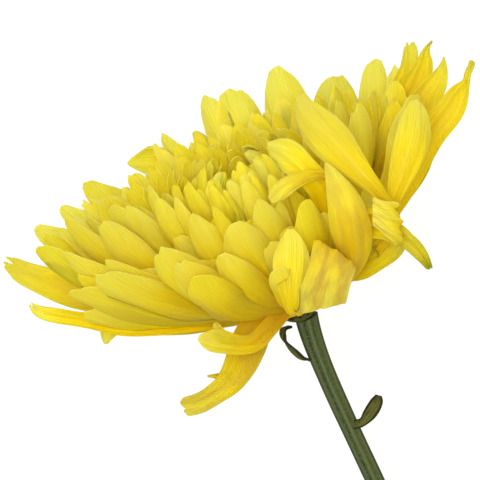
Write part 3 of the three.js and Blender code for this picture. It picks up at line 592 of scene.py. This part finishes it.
def relief(channel, half, share, aside, draw, crease=1):
    """How far a petal stands off its middle line towards the inner face, and its ridges, -1 to 1."""
    tilt = draw(*TILT_VARIES)
    rise = 2 * channel * half * aside ** 2 * (1 + tilt * aside)
    wave = np.sin(share * draw(*WAVE_RATES) + draw(*STARTS) + 1.5 * aside)
    rise = rise + WAVE_DEPTH * half * wave * np.abs(aside) ** 1.5 * smoothstep(share, 0.2, 0.7)
    drift = draw(*DRIFT_VARIES) * share
    broad = np.cos((aside + drift) * draw(*BROAD_RATES) + draw(*STARTS))
    close = np.cos((aside - drift) * draw(*CLOSE_RATES) + draw(*STARTS))
    ridge = BROAD_RIDGES * broad + (1 - BROAD_RIDGES) * close
    rise = rise + RIDGE_DEPTH * crease * ridge * smoothstep(share, 0.05, 0.3) * (1 - 0.5 * share)
    return rise, ridge


def wavering_edge(share, aside, draw):
    """A slight in and out of a petal's two edges, each in its own rhythm."""
    left = np.sin(share * draw(*EDGE_RATES) + draw(*STARTS))
    right = np.sin(share * draw(*EDGE_RATES) + draw(*STARTS))
    return 1 + EDGE_WAVER * np.where(aside < 0, left, right) * aside ** 2 * smoothstep(share, 0.2, 0.5)


def lift_off_table(surface, share):
    """A petal that would pass through the table is bent up, the more the nearer to its tip."""
    height = -surface[..., 1] * RISE_COS + surface[..., 2] * RISE_SIN + NECK_HEIGHT
    lift = max(0, np.max((TABLE_GAP - height) / np.maximum(share, 0.05) ** 2))
    off_table = np.array([0, -RISE_COS, RISE_SIN])
    return surface + off_table * (lift * share ** 2)[..., None]


def width_directions(bent, heading, share):
    """The direction in which a bent petal's width lies: level, or along its own fold line."""
    if "fold_line" not in bent:
        return unit(np.cross(heading, UP))
    first, last = (np.array([*direction, 0.0]) for direction in bent["fold_line"])
    return unit(first + (last - first) * smoothstep(share, *FOLD_TURNS)[..., None])


def bent_petal(bent, draw):
    """Middle surface and normals of a petal that is set by a path, in the side view's frame."""
    share, aside = petal_grid(BENT_GRID, bent.get("form", "round"), draw)
    line = through(bent["path"], share)
    half = line[..., 3]
    heading = heading_through(bent["path"], share, 0.01)
    across = width_directions(bent, heading, share)
    start, end = bent.get("turn", (0, 0))
    turn = np.radians(start + (end - start) * share)
    across, normal = turned(across, unit(np.cross(across, heading)), turn)
    rise, ridge = relief(abs(bent["channel"]), half, share, aside, draw, bent.get("crease", 1))
    rise = rise * np.sign(bent["channel"])
    reach = half * aside * wavering_edge(share, aside, draw)
    surface = line[..., :3] + across * reach[..., None] + normal * rise[..., None]
    return surface, normal, share, aside, ridge


class Skin:
    """Gathers closed thin shells and the values that colour them, and makes one mesh of them."""

    def __init__(self):
        self.points = []
        self.faces = []
        self.place = []
        self.mood = []
        self.ridge = []
        self.count = 0

    def add_shell(self, shape, place_on_table, mood, inner_sign=1, thickness=SKIN, broad=1.0):
        """Adds a shell round a middle surface, with its inner face first."""
        surface, normal, share, aside, ridge = shape
        rows, strips = share.shape
        thin = thickness * (1 - (1 - SKIN_AT_RIM) * np.abs(aside) ** 3)
        thin = thin * (1 - (1 - SKIN_AT_TIP) * smoothstep(share, 0.6, 1))
        offset = normal * (thin / 2)[..., None]
        sides = [place_on_table(surface + offset), place_on_table(surface - offset)]
        if inner_sign < 0:
            sides.reverse()
        place = np.stack([share, aside * broad, np.abs(aside)], -1).reshape(-1, 3)
        for side in sides:
            self.points.append(side.reshape(-1, 3))
            self.place.append(place)
            self.mood.append(np.tile(mood, (rows * strips, 1)))
        self.ridge += [ridge.ravel(), -ridge.ravel()]
        self.faces.append(shell_faces(rows, strips, inner_sign) + self.count)
        self.count += 2 * rows * strips

    def make(self, name, material):
        """One mesh of all shells, with their values as attributes."""
        points = np.vstack(self.points).tolist()
        mesh = plain_mesh(name, points, np.vstack(self.faces).tolist(), SHARP_RIM)
        set_vectors(mesh, "place", np.vstack(self.place))
        set_vectors(mesh, "mood", np.vstack(self.mood))
        layer = mesh.attributes.new("ridge", "FLOAT", "POINT")
        layer.data.foreach_set("value", np.concatenate(self.ridge).astype(np.float32))
        return show(name, mesh, material)


def shell_faces(rows, strips, inner_sign):
    """Four-cornered faces of a closed shell of two grids joined round their edges."""
    a = np.arange(rows * strips).reshape(rows, strips)
    b = a + rows * strips
    quads = [
        (a[:-1, :-1], a[:-1, 1:], a[1:, 1:], a[1:, :-1]),
        (b[:-1, :-1], b[1:, :-1], b[1:, 1:], b[:-1, 1:]),
        (a[:-1, 0], a[1:, 0], b[1:, 0], b[:-1, 0]),
        (a[:-1, -1], b[:-1, -1], b[1:, -1], a[1:, -1]),
        (a[0, :-1], b[0, :-1], b[0, 1:], a[0, 1:]),
        (a[-1, :-1], a[-1, 1:], b[-1, 1:], b[-1, :-1]),
    ]
    faces = np.vstack([np.stack(corners, -1).reshape(-1, 4) for corners in quads])
    return faces if inner_sign < 0 else faces[:, ::-1]


def plain_mesh(name, points, faces, sharp_degrees):
    """A mesh with smooth shading that stays sharp at edges above an angle."""
    mesh = bpy.data.meshes.new(name)
    mesh.from_pydata(points, [], faces)
    mesh.shade_smooth()
    mesh.set_sharp_from_angle(angle=math.radians(sharp_degrees))
    return mesh


def set_vectors(mesh, label, values):
    layer = mesh.attributes.new(label, "FLOAT_VECTOR", "POINT")
    layer.data.foreach_set("vector", np.array(values, np.float32).ravel())


def put(name, data):
    """Puts something into the scene under a name."""
    thing = bpy.data.objects.new(name, data)
    bpy.context.scene.collection.objects.link(thing)
    return thing


def show(name, mesh, material):
    """Puts a mesh into the scene as a piece of its own."""
    mesh.materials.append(material)
    return put(name, mesh)


def colour(red, green, blue):
    """A colour given as it is seen on a screen, 0 to 255, as Blender mixes it."""
    def linear(c):
        c = c / 255
        return c / 12.92 if c <= 0.04045 else ((c + 0.055) / 1.055) ** 2.4

    return (linear(red), linear(green), linear(blue), 1)


# Deep gold and golden are partly a petal's own colour at its base and partly painted shade deep in the
# bloom; golden is also the painted shade of its hollows and furrows.
DEEP_GOLD_AND_SHADE = colour(250, 190, 0)
GOLDEN_AND_SHADE = colour(238, 200, 0)
YELLOW = colour(244, 214, 0)
LEMON = colour(246, 226, 14)
PALE = colour(242, 230, 104)
OLIVE = colour(196, 184, 40)
BEIGE = colour(186, 160, 56)
TIP_GREEN = colour(122, 136, 16)
STEM_GROOVE = colour(24, 38, 30)
STEM_RIDGE = colour(82, 100, 68)
STEM_DARK_STREAK = colour(50, 70, 50)
STEM_OLIVE_STREAK = colour(84, 92, 46)
STEM_FLECK = colour(104, 118, 74)
# The stem's sheen is a painted blue-grey highlight on the crests of its ribs.
STEM_HIGHLIGHT = colour(120, 136, 120)
BRACT_DARK = colour(50, 58, 22)
BRACT_LIGHT = colour(80, 88, 36)
BRACT_STREAK = colour(118, 122, 54)
BRACT_RIM = colour(22, 24, 14)
BRACT_TIP = colour(40, 34, 26)

# Through how many radians the wave of veins runs across half a common petal, how far it wanders,
# and how high the veins stand, in metres.
VEIN_TURNS = 44
VEIN_WANDER = 14
VEIN_RISE = 0.00015
# How far apart the patterns of the palest and the deepest petal start, and how far light travels
# inside a petal, in metres, and the shares of that for red, green and blue.
PATTERN_SPREAD = 40
GLOW_DEPTH = 0.0026
GLOW_RADIUS = (1, 0.8, 0.4)
# How many flecks of the stem and grains of the bracts there are to a metre, how high they stand,
# and how strongly all fine relief shows.
STEM_FLECKS = 1700
BRACT_GRAIN = 1300
GRAIN_RISE = 0.0002
RELIEF_STRENGTH = 0.6
# The stem's length in its pattern's own measure, and the mood of leaves and bracts.
STEM_STRETCH = 6
PLAIN_MOOD = (0.5, 0, 0)


class Nodes:
    """Short calls for a material's nodes."""

    def __init__(self, name):
        self.material = bpy.data.materials.new(name)
        self.material.use_nodes = True
        self.tree = self.material.node_tree
        self.shader = self.tree.nodes["Principled BSDF"]

    def node(self, kind):
        return self.tree.nodes.new("ShaderNode" + kind)

    def link(self, source, target):
        if isinstance(source, (int, float, tuple)):
            target.default_value = source
        else:
            self.tree.links.new(source, target)

    def attribute(self, name):
        node = self.node("Attribute")
        node.attribute_name = name
        parts = self.node("SeparateXYZ")
        self.link(node.outputs["Vector"], parts.inputs[0])
        return list(parts.outputs)

    def math(self, operation, a, b=0):
        node = self.node("Math")
        node.operation = operation
        self.link(a, node.inputs[0])
        self.link(b, node.inputs[1])
        return node.outputs[0]

    def times(self, a, b):
        return self.math("MULTIPLY", a, b)

    def plus(self, a, b):
        return self.math("ADD", a, b)

    def ramp(self, value, low, high, to_low=0, to_high=1):
        node = self.node("MapRange")
        node.interpolation_type = "SMOOTHSTEP"
        for slot, number in zip(node.inputs, (value, low, high, to_low, to_high)):
            self.link(number, slot)
        return node.outputs[0]

    def mix(self, factor, a, b):
        node = self.node("Mix")
        node.data_type = "RGBA"
        self.link(factor, node.inputs["Factor"])
        self.link(a, node.inputs[6])
        self.link(b, node.inputs[7])
        return node.outputs[2]

    def vector(self, x, y, z):
        node = self.node("CombineXYZ")
        for slot, value in zip(node.inputs, (x, y, z)):
            self.link(value, slot)
        return node.outputs[0]

    def noise(self, where, scale, detail=3, roughness=0.5):
        node = self.node("TexNoise")
        node.inputs["Scale"].default_value = scale
        node.inputs["Detail"].default_value = detail
        node.inputs["Roughness"].default_value = roughness
        self.link(where, node.inputs["Vector"])
        return node.outputs["Fac"]

    def object_place(self):
        return self.node("TexCoord").outputs["Object"]

    def finish(self, body, roughness, height, distance):
        """Links colour, roughness and fine relief to the shader."""
        self.link(body, self.shader.inputs["Base Color"])
        self.link(roughness, self.shader.inputs["Roughness"])
        bump = self.node("Bump")
        bump.inputs["Strength"].default_value = RELIEF_STRENGTH
        bump.inputs["Distance"].default_value = distance
        self.link(height, bump.inputs["Height"])
        self.link(bump.outputs[0], self.shader.inputs["Normal"])

    def set(self, **values):
        for name, value in values.items():
            self.shader.inputs[name.replace("_", " ")].default_value = value


def petal_lines(m, along, aside, seed):
    """Soft streaks along a petal and a wave across it, and the veins, partly painted highlight, and
    furrows, painted shade, made of both.
    """
    streak_place = m.vector(m.times(aside, 5), m.times(along, 1.6), seed)
    streaks = m.noise(streak_place, 2.2, 4, 0.6)
    drift = m.times(m.noise(m.vector(aside, m.times(along, 1.2), seed), 4.5), VEIN_WANDER)
    wave = m.math("SINE", m.plus(m.times(aside, VEIN_TURNS), drift))
    veins_and_highlight = m.times(m.ramp(wave, 0.1, 1), m.ramp(streaks, 0.3, 0.6, 0.25, 1))
    furrow_shade = m.times(m.ramp(wave, -0.2, -1), m.ramp(streaks, 0.35, 0.65, 0.3, 1))
    return streaks, wave, veins_and_highlight, furrow_shade


def ridge_highlight_and_shade(m, body, along, ridge, pale_share):
    """Painted highlight: crests turn pale towards the tip; painted shade: the hollows between them stay
    golden.
    """
    crest_highlight = m.times(m.ramp(ridge, 0, 1), m.ramp(pale_share, 0, 1, 0, 0.35))
    crest_highlight = m.times(crest_highlight, m.ramp(along, 0.3, 0.8, 0.15, 1))
    body = m.mix(crest_highlight, body, PALE)
    return m.mix(m.times(m.ramp(ridge, -0.1, -1), 0.35), body, GOLDEN_AND_SHADE)


def veins_and_painted_light(m, body, along, pale_share, veins_and_highlight, furrow_shade):
    """Veins are lemon and near the tip pale, partly their own colour and partly painted highlight, and
    furrows are golden, painted shade.
    """
    # Painted highlight on the veins, partly their own colour.
    body = m.mix(m.times(veins_and_highlight, m.ramp(along, 0.4, 1, 0.1, 0.8)), body, LEMON)
    vein_tips = m.times(m.ramp(along, 0.45, 1), m.ramp(pale_share, 0, 0.6, 0.12, 0.6))
    body = m.mix(m.times(veins_and_highlight, vein_tips), body, PALE)
    # Painted shade in the furrows.
    return m.mix(m.times(furrow_shade, 0.45), body, GOLDEN_AND_SHADE)


def rim_colours(m, body, along, edge, pale_share):
    """Rims turn pale towards the tip, the more the paler the petal."""
    rim = m.times(m.ramp(edge, 0.78, 1), m.ramp(along, 0.4, 1, 0, 0.4))
    rim = m.times(rim, m.ramp(pale_share, 0, 0.4, 0.15, 1))
    return m.mix(rim, body, PALE)


def mood_colours(m, body, along, blotch, beige, green):
    """Limp petals are blotched with beige, and the green-tipped one turns green along its length."""
    shade = m.times(m.ramp(blotch, 0.3, 0.66, 0.25, 1), beige)
    body = m.mix(m.times(shade, 0.8), body, BEIGE)
    body = m.mix(m.times(green, m.ramp(along, 0.25, 0.7, 0.2, 1)), body, OLIVE)
    return m.mix(m.times(green, m.ramp(along, 0.78, 1)), body, TIP_GREEN)


def petal_material():
    """Waxy yellow: golden at the base, partly painted shade, lemon at the tip, with pale veins that carry
    painted highlight and soft folds with painted highlight on their crests and painted shade in their
    hollows.
    """
    m = Nodes("petal_yellow")
    along, aside, edge = m.attribute("place")
    pale_share, beige, green = m.attribute("mood")
    ridge = m.attribute("ridge")[0]
    seed = m.times(pale_share, PATTERN_SPREAD)
    streaks, wave, veins_and_highlight, furrow_shade = petal_lines(m, along, aside, seed)
    blotch = m.noise(m.vector(aside, m.times(along, 3), seed), 1.3, 2)
    pale_tip = m.times(m.ramp(along, 0.6, 1), m.ramp(pale_share, 0, 0.6, 0.2, 0.9))
    # Golden towards the base: partly the petal's own colour, partly painted shade where petals come out
    # from behind others.
    body = m.mix(m.ramp(along, 0, 0.6), DEEP_GOLD_AND_SHADE, GOLDEN_AND_SHADE)
    body = m.mix(m.ramp(along, 0.45, 0.95), body, YELLOW)
    body = m.mix(pale_tip, body, LEMON)
    body = ridge_highlight_and_shade(m, body, along, ridge, pale_share)
    body = veins_and_painted_light(m, body, along, pale_share, veins_and_highlight, furrow_shade)
    body = rim_colours(m, body, along, edge, pale_share)
    body = m.mix(m.times(pale_tip, m.ramp(streaks, 0.3, 0.7, 0.25, 0.9)), body, PALE)
    body = mood_colours(m, body, along, blotch, beige, green)
    roughness = m.ramp(streaks, 0.3, 0.7, 0.45, 0.62)
    m.finish(body, roughness, m.plus(m.times(wave, 0.3), streaks), VEIN_RISE)
    m.set(Subsurface_Weight=0.75, Subsurface_Scale=GLOW_DEPTH, Specular_IOR_Level=0.18)
    m.set(Subsurface_Radius=GLOW_RADIUS)
    return m.material


def stem_material():
    """Ribbed green stem: dark grooves, paler ridges, small olive flecks and a painted blue-grey highlight
    on the crests of the ribs.
    """
    m = Nodes("stem_green")
    along, aside, ridge = m.attribute("place")
    flecks = m.noise(m.object_place(), STEM_FLECKS, 4, 0.7)
    streaks = m.noise(m.vector(m.times(aside, 22), m.times(along, 1.1), 0), 1)
    patches = m.noise(m.vector(m.times(aside, 4), m.times(along, 0.5), 3), 1, 2)
    body = m.mix(m.ramp(ridge, 0, 0.8), STEM_GROOVE, STEM_RIDGE)
    body = m.mix(m.times(m.ramp(streaks, 0.4, 0.65), 0.55), body, STEM_DARK_STREAK)
    body = m.mix(m.times(m.ramp(patches, 0.45, 0.6), 0.4), body, STEM_OLIVE_STREAK)
    body = m.mix(m.times(m.ramp(flecks, 0.45, 0.65), 0.5), body, STEM_FLECK)
    # Painted highlight along the crests of the ribs.
    body = m.mix(m.times(m.ramp(ridge, 0.85, 1), 0.35), body, STEM_HIGHLIGHT)
    m.finish(body, m.ramp(flecks, 0.3, 0.7, 0.5, 0.75), m.plus(flecks, streaks), GRAIN_RISE)
    m.set(Specular_IOR_Level=0.3, Subsurface_Weight=0.05, Subsurface_Scale=0.001)
    return m.material


def bract_material():
    """Dark olive bracts and withered leaves, nearly black towards their rims."""
    m = Nodes("bract_green")
    along, aside = m.attribute("place")[:2]
    grain = m.noise(m.object_place(), BRACT_GRAIN, 4, 0.6)
    streaks = m.noise(m.vector(m.times(aside, 3), along, 5), 1.6)
    rim = m.ramp(m.math("ABSOLUTE", aside), 0.4, 0.95)
    body = m.mix(m.ramp(grain, 0.35, 0.65), BRACT_DARK, BRACT_LIGHT)
    body = m.mix(m.times(m.ramp(streaks, 0.42, 0.62), 0.6), body, BRACT_STREAK)
    body = m.mix(m.times(rim, 0.9), body, BRACT_RIM)
    body = m.mix(m.ramp(along, 0.7, 1, 0, 0.8), body, BRACT_TIP)
    m.finish(body, m.ramp(grain, 0.3, 0.7, 0.55, 0.8), grain, GRAIN_RISE)
    m.set(Specular_IOR_Level=0.3)
    return m.material


def shown_specs(rows):
    """Petals given by rows of the side view, with their tips in the bloom's own frame."""
    specs = []
    for across, up, back, width, curl, lean, twist, form in rows:
        tip = np.array([across, back, (up - back * RISE_SIN) / RISE_COS])
        specs.append(dict(tip=tip, width=width, curl=curl, lean=lean, twist=twist, form=form))
    return specs


def ring_specs(rings, seed):
    """Petals given by rings round the bloom's axis, each a little off its even place."""
    draw = make_draw(seed)
    specs = []
    for count, ring_radius, ring_high, ring_width, curl, start, span in rings:
        for i in range(count):
            turn = math.radians(start + span * (i + draw(-TURN_VARIES, TURN_VARIES)) / count)
            radius = ring_radius + draw(-REACH_VARIES, REACH_VARIES)
            high = ring_high + draw(-REACH_VARIES, REACH_VARIES)
            width = ring_width * draw(0.9, 1.1)
            lean = draw(-LEAN_VARIES, LEAN_VARIES)
            side = math.cos(turn)
            face = (BACK_TWIST if radius * math.sin(turn) > BEHIND_FROM else FRONT_TWIST) * side
            if math.sin(turn) < 0 and ring_radius > WIDE_RING:
                high -= FRONT_FILL_DROP
                radius -= FRONT_FILL_PULL
            twist = face + draw(-TWIST_VARIES, TWIST_VARIES)
            form = FILL_FORMS[int(draw() * len(FILL_FORMS))]
            tip = np.array([radius * side, radius * math.sin(turn), high])
            specs.append(dict(tip=tip, width=width, curl=curl, lean=lean, twist=twist, form=form))
    return specs


def petal_piece(name, specs, grid, material, draw, palest=1.0):
    """One piece of many petals that are set by their tips, each with a mood of its own."""
    skin = Skin()
    for spec in specs:
        shape = rule_petal(spec, grid, draw)
        mood = (palest * draw(0.1, 0.9), 0.3 * draw() ** 2, 0.0)
        skin.add_shell(shape, lay, mood, broad=spec["width"] / COMMON_WIDTH)
    return keep(skin.make(name, material), "petal_yellow", "bloom")


def bent_piece(name, material, draw):
    """One piece of all petals that are set by a path."""
    skin = Skin()
    for bent in BENT_PETALS.values():
        shape = bent_petal(bent, draw)
        broad = 2 * max(station[3] for station in bent["path"]) / COMMON_WIDTH
        skin.add_shell(shape, stand, bent["mood"], math.copysign(1, bent["channel"]), broad=broad)
    return keep(skin.make(name, material), "petal_yellow", "bloom")


def keep(piece, slot, *nodes):
    """Says what a piece moves with and hides what it stands in place of; slot, what it is made of, is not
    used.
    """
    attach(piece, "root")
    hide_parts(*nodes)
    return piece


def ring_mesh(name, rings, values, material):
    """A closed tube of rings of equal counts with capped ends."""
    rings = np.array(rings)
    levels, count = rings.shape[:2]
    points = list(rings.reshape(-1, 3)) + [rings[0].mean(0), rings[-1].mean(0)]
    foot = levels * count
    top = foot + 1
    faces = []
    for k in range(0, foot - count, count):
        for i in range(count):
            j = (i + 1) % count
            faces.append((k + i, k + j, k + j + count, k + i + count))
    for i in range(count):
        j = (i + 1) % count
        faces.append((foot, j, i))
        faces.append((top, foot - count + i, foot - count + j))
    mesh = plain_mesh(name, [tuple(point) for point in points], faces, SHARP_END)
    set_vectors(mesh, "place", list(np.array(values).reshape(-1, 3)) + [values[0][0], values[-1][0]])
    return show(name, mesh, material)


def circle(radius, z, turns):
    """Points round the bloom's axis at one height."""
    return np.stack([radius * np.cos(turns), radius * np.sin(turns), np.full_like(turns, z)], -1)


def stem_middle(z):
    """The stem's middle line in the bloom's frame."""
    across = NECK_BEND * math.exp(z / NECK_BEND_DEPTH) - STEM_ASIDE - STEM_LEAN * z
    bow = STEM_BOW * math.sin(math.pi * -z / STEM_LENGTH)
    return np.array([across, bow, z])


def stem(material):
    """The ribbed stem, with finer ribs between the main ones."""
    rows, strips = STEM_GRID
    turns = np.linspace(0, 2 * math.pi, strips, endpoint=False)
    rings = []
    values = []
    for depth in np.linspace(STEM_LENGTH, 0, rows):
        ridge = 0.5 + 0.5 * np.cos(RIB_COUNT * turns)
        fine = 0.5 + 0.5 * np.cos(FINE_RIB_COUNT * turns + FINE_RIB_DRIFT * depth)
        radius = STEM_RADIUS + (NECK_RADIUS - STEM_RADIUS) * math.exp(-depth / NECK_FLARE)
        r = radius * (1 + RIB_DEPTH * (ridge ** RIB_ROUNDING - 1) - FINE_RIB_DEPTH * fine)
        r = r * (1 + RIPPLE_DEPTH * np.sin(RIPPLE_RATE * depth + 2 * turns))
        rings.append(lay(circle(r, 0, turns) + stem_middle(-depth)))
        along = np.full_like(turns, STEM_STRETCH * depth / STEM_LENGTH)
        values.append(np.stack([along, turns / math.pi, RIBS_SHOW * ridge + (1 - RIBS_SHOW) * fine], -1))
    return keep(ring_mesh("stem", rings, values, material), "stem_green", "leafy_stem")


def withered_leaf(leaf):
    """Middle surface and normals of a small withered leaf that turns about its own path."""
    share, aside = sheet_grid(LEAF_GRID)
    line = through(leaf["path"], share)
    half = line[..., 3]
    heading = heading_through(leaf["path"], share, 0.02)
    viewer = np.array([0.0, -1.0, 0.0])
    side = unit(viewer - (heading @ viewer)[..., None] * heading)
    start, end = leaf["turn"]
    turn = end + (start - end) * (1 - share) ** 2
    across, face = turned(side, np.cross(heading, side), turn)
    lengthwise, crosswise = CRINKLE_RATES
    crinkle = LEAF_CRINKLE * np.sin(lengthwise * share + crosswise * aside) * half
    surface = line[..., :3] + across * (half * aside)[..., None]
    surface = surface + face * (leaf["cup"] * half * aside ** 2 + crinkle)[..., None]
    return surface, face, share, aside, crinkle


def leaf_stubs(material):
    """The two withered leaves that are left on the stem."""
    skin = Skin()
    for leaf in WITHERED_LEAVES:
        skin.add_shell(withered_leaf(leaf), lay, PLAIN_MOOD, thickness=LEAF_SKIN)
    return keep(skin.make("leaf_stubs", material), "stem_green", "leafy_stem")


def bract(turn, radius, top, low):
    """Middle surface and normals of one bract, which leans out from the neck."""
    share, aside = sheet_grid(BRACT_GRID)
    outward = np.array([math.cos(turn), math.sin(turn), 0])
    sideways = np.array([-math.sin(turn), math.cos(turn), 0])
    reach = BRACT_FOOT + (radius - BRACT_FOOT) * share
    half = BRACT_HALF_WIDTH * np.maximum(0.02, 1 - share ** 3) ** BRACT_ROUNDING
    high = low + (top - low) * share ** BRACT_RISE + BRACT_CUPPING * half * aside ** 2
    surface = outward * reach[..., None] + sideways * (half * aside)[..., None] + UP * high[..., None]
    normal = np.broadcast_to(unit(UP - BRACT_LEAN * outward), surface.shape)
    return surface, normal, share, aside, np.zeros_like(share)


def involucre(material):
    """Two rows of small dark bracts that cup the base of the petals."""
    skin = Skin()
    for row, (radius, top, low) in enumerate(BRACT_ROWS):
        for i in range(BRACT_COUNT):
            turn = 2 * math.pi * (i + 0.5 * row) / BRACT_COUNT
            skin.add_shell(bract(turn, radius, top, low), lay, PLAIN_MOOD, thickness=BRACT_SKIN)
    return keep(skin.make("bracts", material), "bract_green", "involucre")


def dome(material):
    """The small dome under the petals."""
    turns = np.linspace(0, 2 * math.pi, DOME_STRIPS, endpoint=False)
    rings = [lay(circle(radius, z, turns)) for radius, z in DOME_PROFILE]
    base_of_petal = np.tile(UP, (len(DOME_PROFILE), DOME_STRIPS, 1))
    return keep(ring_mesh("dome", rings, base_of_petal, material), "petal_yellow", "bloom")


# Half the floor's side, in metres, its grey, and how bright it is in the picture and how bright
# it glows on the flower.
FLOOR_REACH = 6
FLOOR_GREY = (0.15, 0.15, 0.15, 1)
FLOOR_SEEN = 0.92
FLOOR_GLOW = 0.25


def floor():
    """A plain pale surface that the flower lies on."""
    mesh = bpy.data.meshes.new("floor")
    corners = [(x * FLOOR_REACH, y * FLOOR_REACH, 0) for x, y in ((-1, -1), (1, -1), (1, 1), (-1, 1))]
    mesh.from_pydata(corners, [], [(0, 1, 2, 3)])
    m = Nodes("floor_white")
    m.set(Base_Color=FLOOR_GREY, Roughness=0.9, Specular_IOR_Level=0.1, Emission_Color=(1, 1, 1, 1))
    seen = m.node("LightPath").outputs["Is Camera Ray"]
    m.link(m.ramp(seen, 0.0, 1.0, FLOOR_GLOW, FLOOR_SEEN), m.shader.inputs["Emission Strength"])
    show("floor", mesh, m.material)


# How the side view is turned on the table, its right, its middle, from the neck, and the width
# that it shows.
VIEW_TURN = math.radians(-113.5)
VIEW_RIGHT = Vector((math.cos(VIEW_TURN), math.sin(VIEW_TURN), 0))
VIEW_CENTRE = Vector((NECK_ALONG + 24.73, NECK_ACROSS + 6.8, 0)) * MM
VIEW_WIDTH = 0.1226
CAMERA_HEIGHT = 1.6
SENSOR = 36
# A warm sky, and the lamps: place from the middle of the view, in metres, size and power.
SKY_COLOUR = (1, 0.88, 0.45, 1)
SKY_STRENGTH = 0.7
LAMPS = {
    "key": (Vector((0, 0, 1.5)) - 0.1 * VIEW_RIGHT, 0.5, 11.6),
    "eye_light": (Vector((1.2, 0, 0.9)), 0.9, 7.6),
}


def camera():
    """Looks straight down on the lying flower, as the side view does."""
    data = bpy.data.cameras.new("camera")
    data.sensor_width = SENSOR
    data.lens = SENSOR * (CAMERA_HEIGHT - NECK_HEIGHT * MM) / VIEW_WIDTH
    data.clip_end = 20
    eye = put("camera", data)
    eye.location = VIEW_CENTRE + Vector((0, 0, CAMERA_HEIGHT))
    eye.rotation_euler = (0, 0, VIEW_TURN)
    bpy.context.scene.camera = eye


def soft_light(name, place, size, power):
    """A round lamp that shines at the middle of the view."""
    data = bpy.data.lights.new(name, "AREA")
    data.shape = "DISK"
    data.size = size
    data.energy = power
    lamp = put(name, data)
    lamp.location = place
    lamp.rotation_mode = "QUATERNION"
    lamp.rotation_quaternion = (VIEW_CENTRE - place).to_track_quat("-Z", "Y")


def light():
    """Soft studio light: a warm sky, a lamp above the bloom and one in front of its heart."""
    world = bpy.data.worlds.new("world")
    world.use_nodes = True
    sky = world.node_tree.nodes["Background"]
    sky.inputs["Color"].default_value = SKY_COLOUR
    sky.inputs["Strength"].default_value = SKY_STRENGTH
    bpy.context.scene.world = world
    for name, (place, size, power) in LAMPS.items():
        soft_light(name, VIEW_CENTRE + place, size, power)
    bpy.context.scene.view_settings.view_transform = "Standard"


camera()
light()
floor()

petal_look = petal_material()
stem_look = stem_material()
bract_look = bract_material()
detail = make_draw(DETAIL_SEED)
for label, rows_of_petals in SHOWN_PETALS.items():
    petal_piece(label, shown_specs(rows_of_petals), SHOWN_GRID, petal_look, detail)
bent_piece("petals_bent", petal_look, detail)
petal_piece("petals_fill", ring_specs(FILL_RINGS, FILL_SEED), FILL_GRID, petal_look, detail)
petal_piece("petals_deep", ring_specs(DEEP_RINGS, DEEP_SEED), DEEP_GRID, petal_look, detail, palest=0.2)
dome(petal_look)
stem(stem_look)
leaf_stubs(bract_look)
involucre(bract_look)
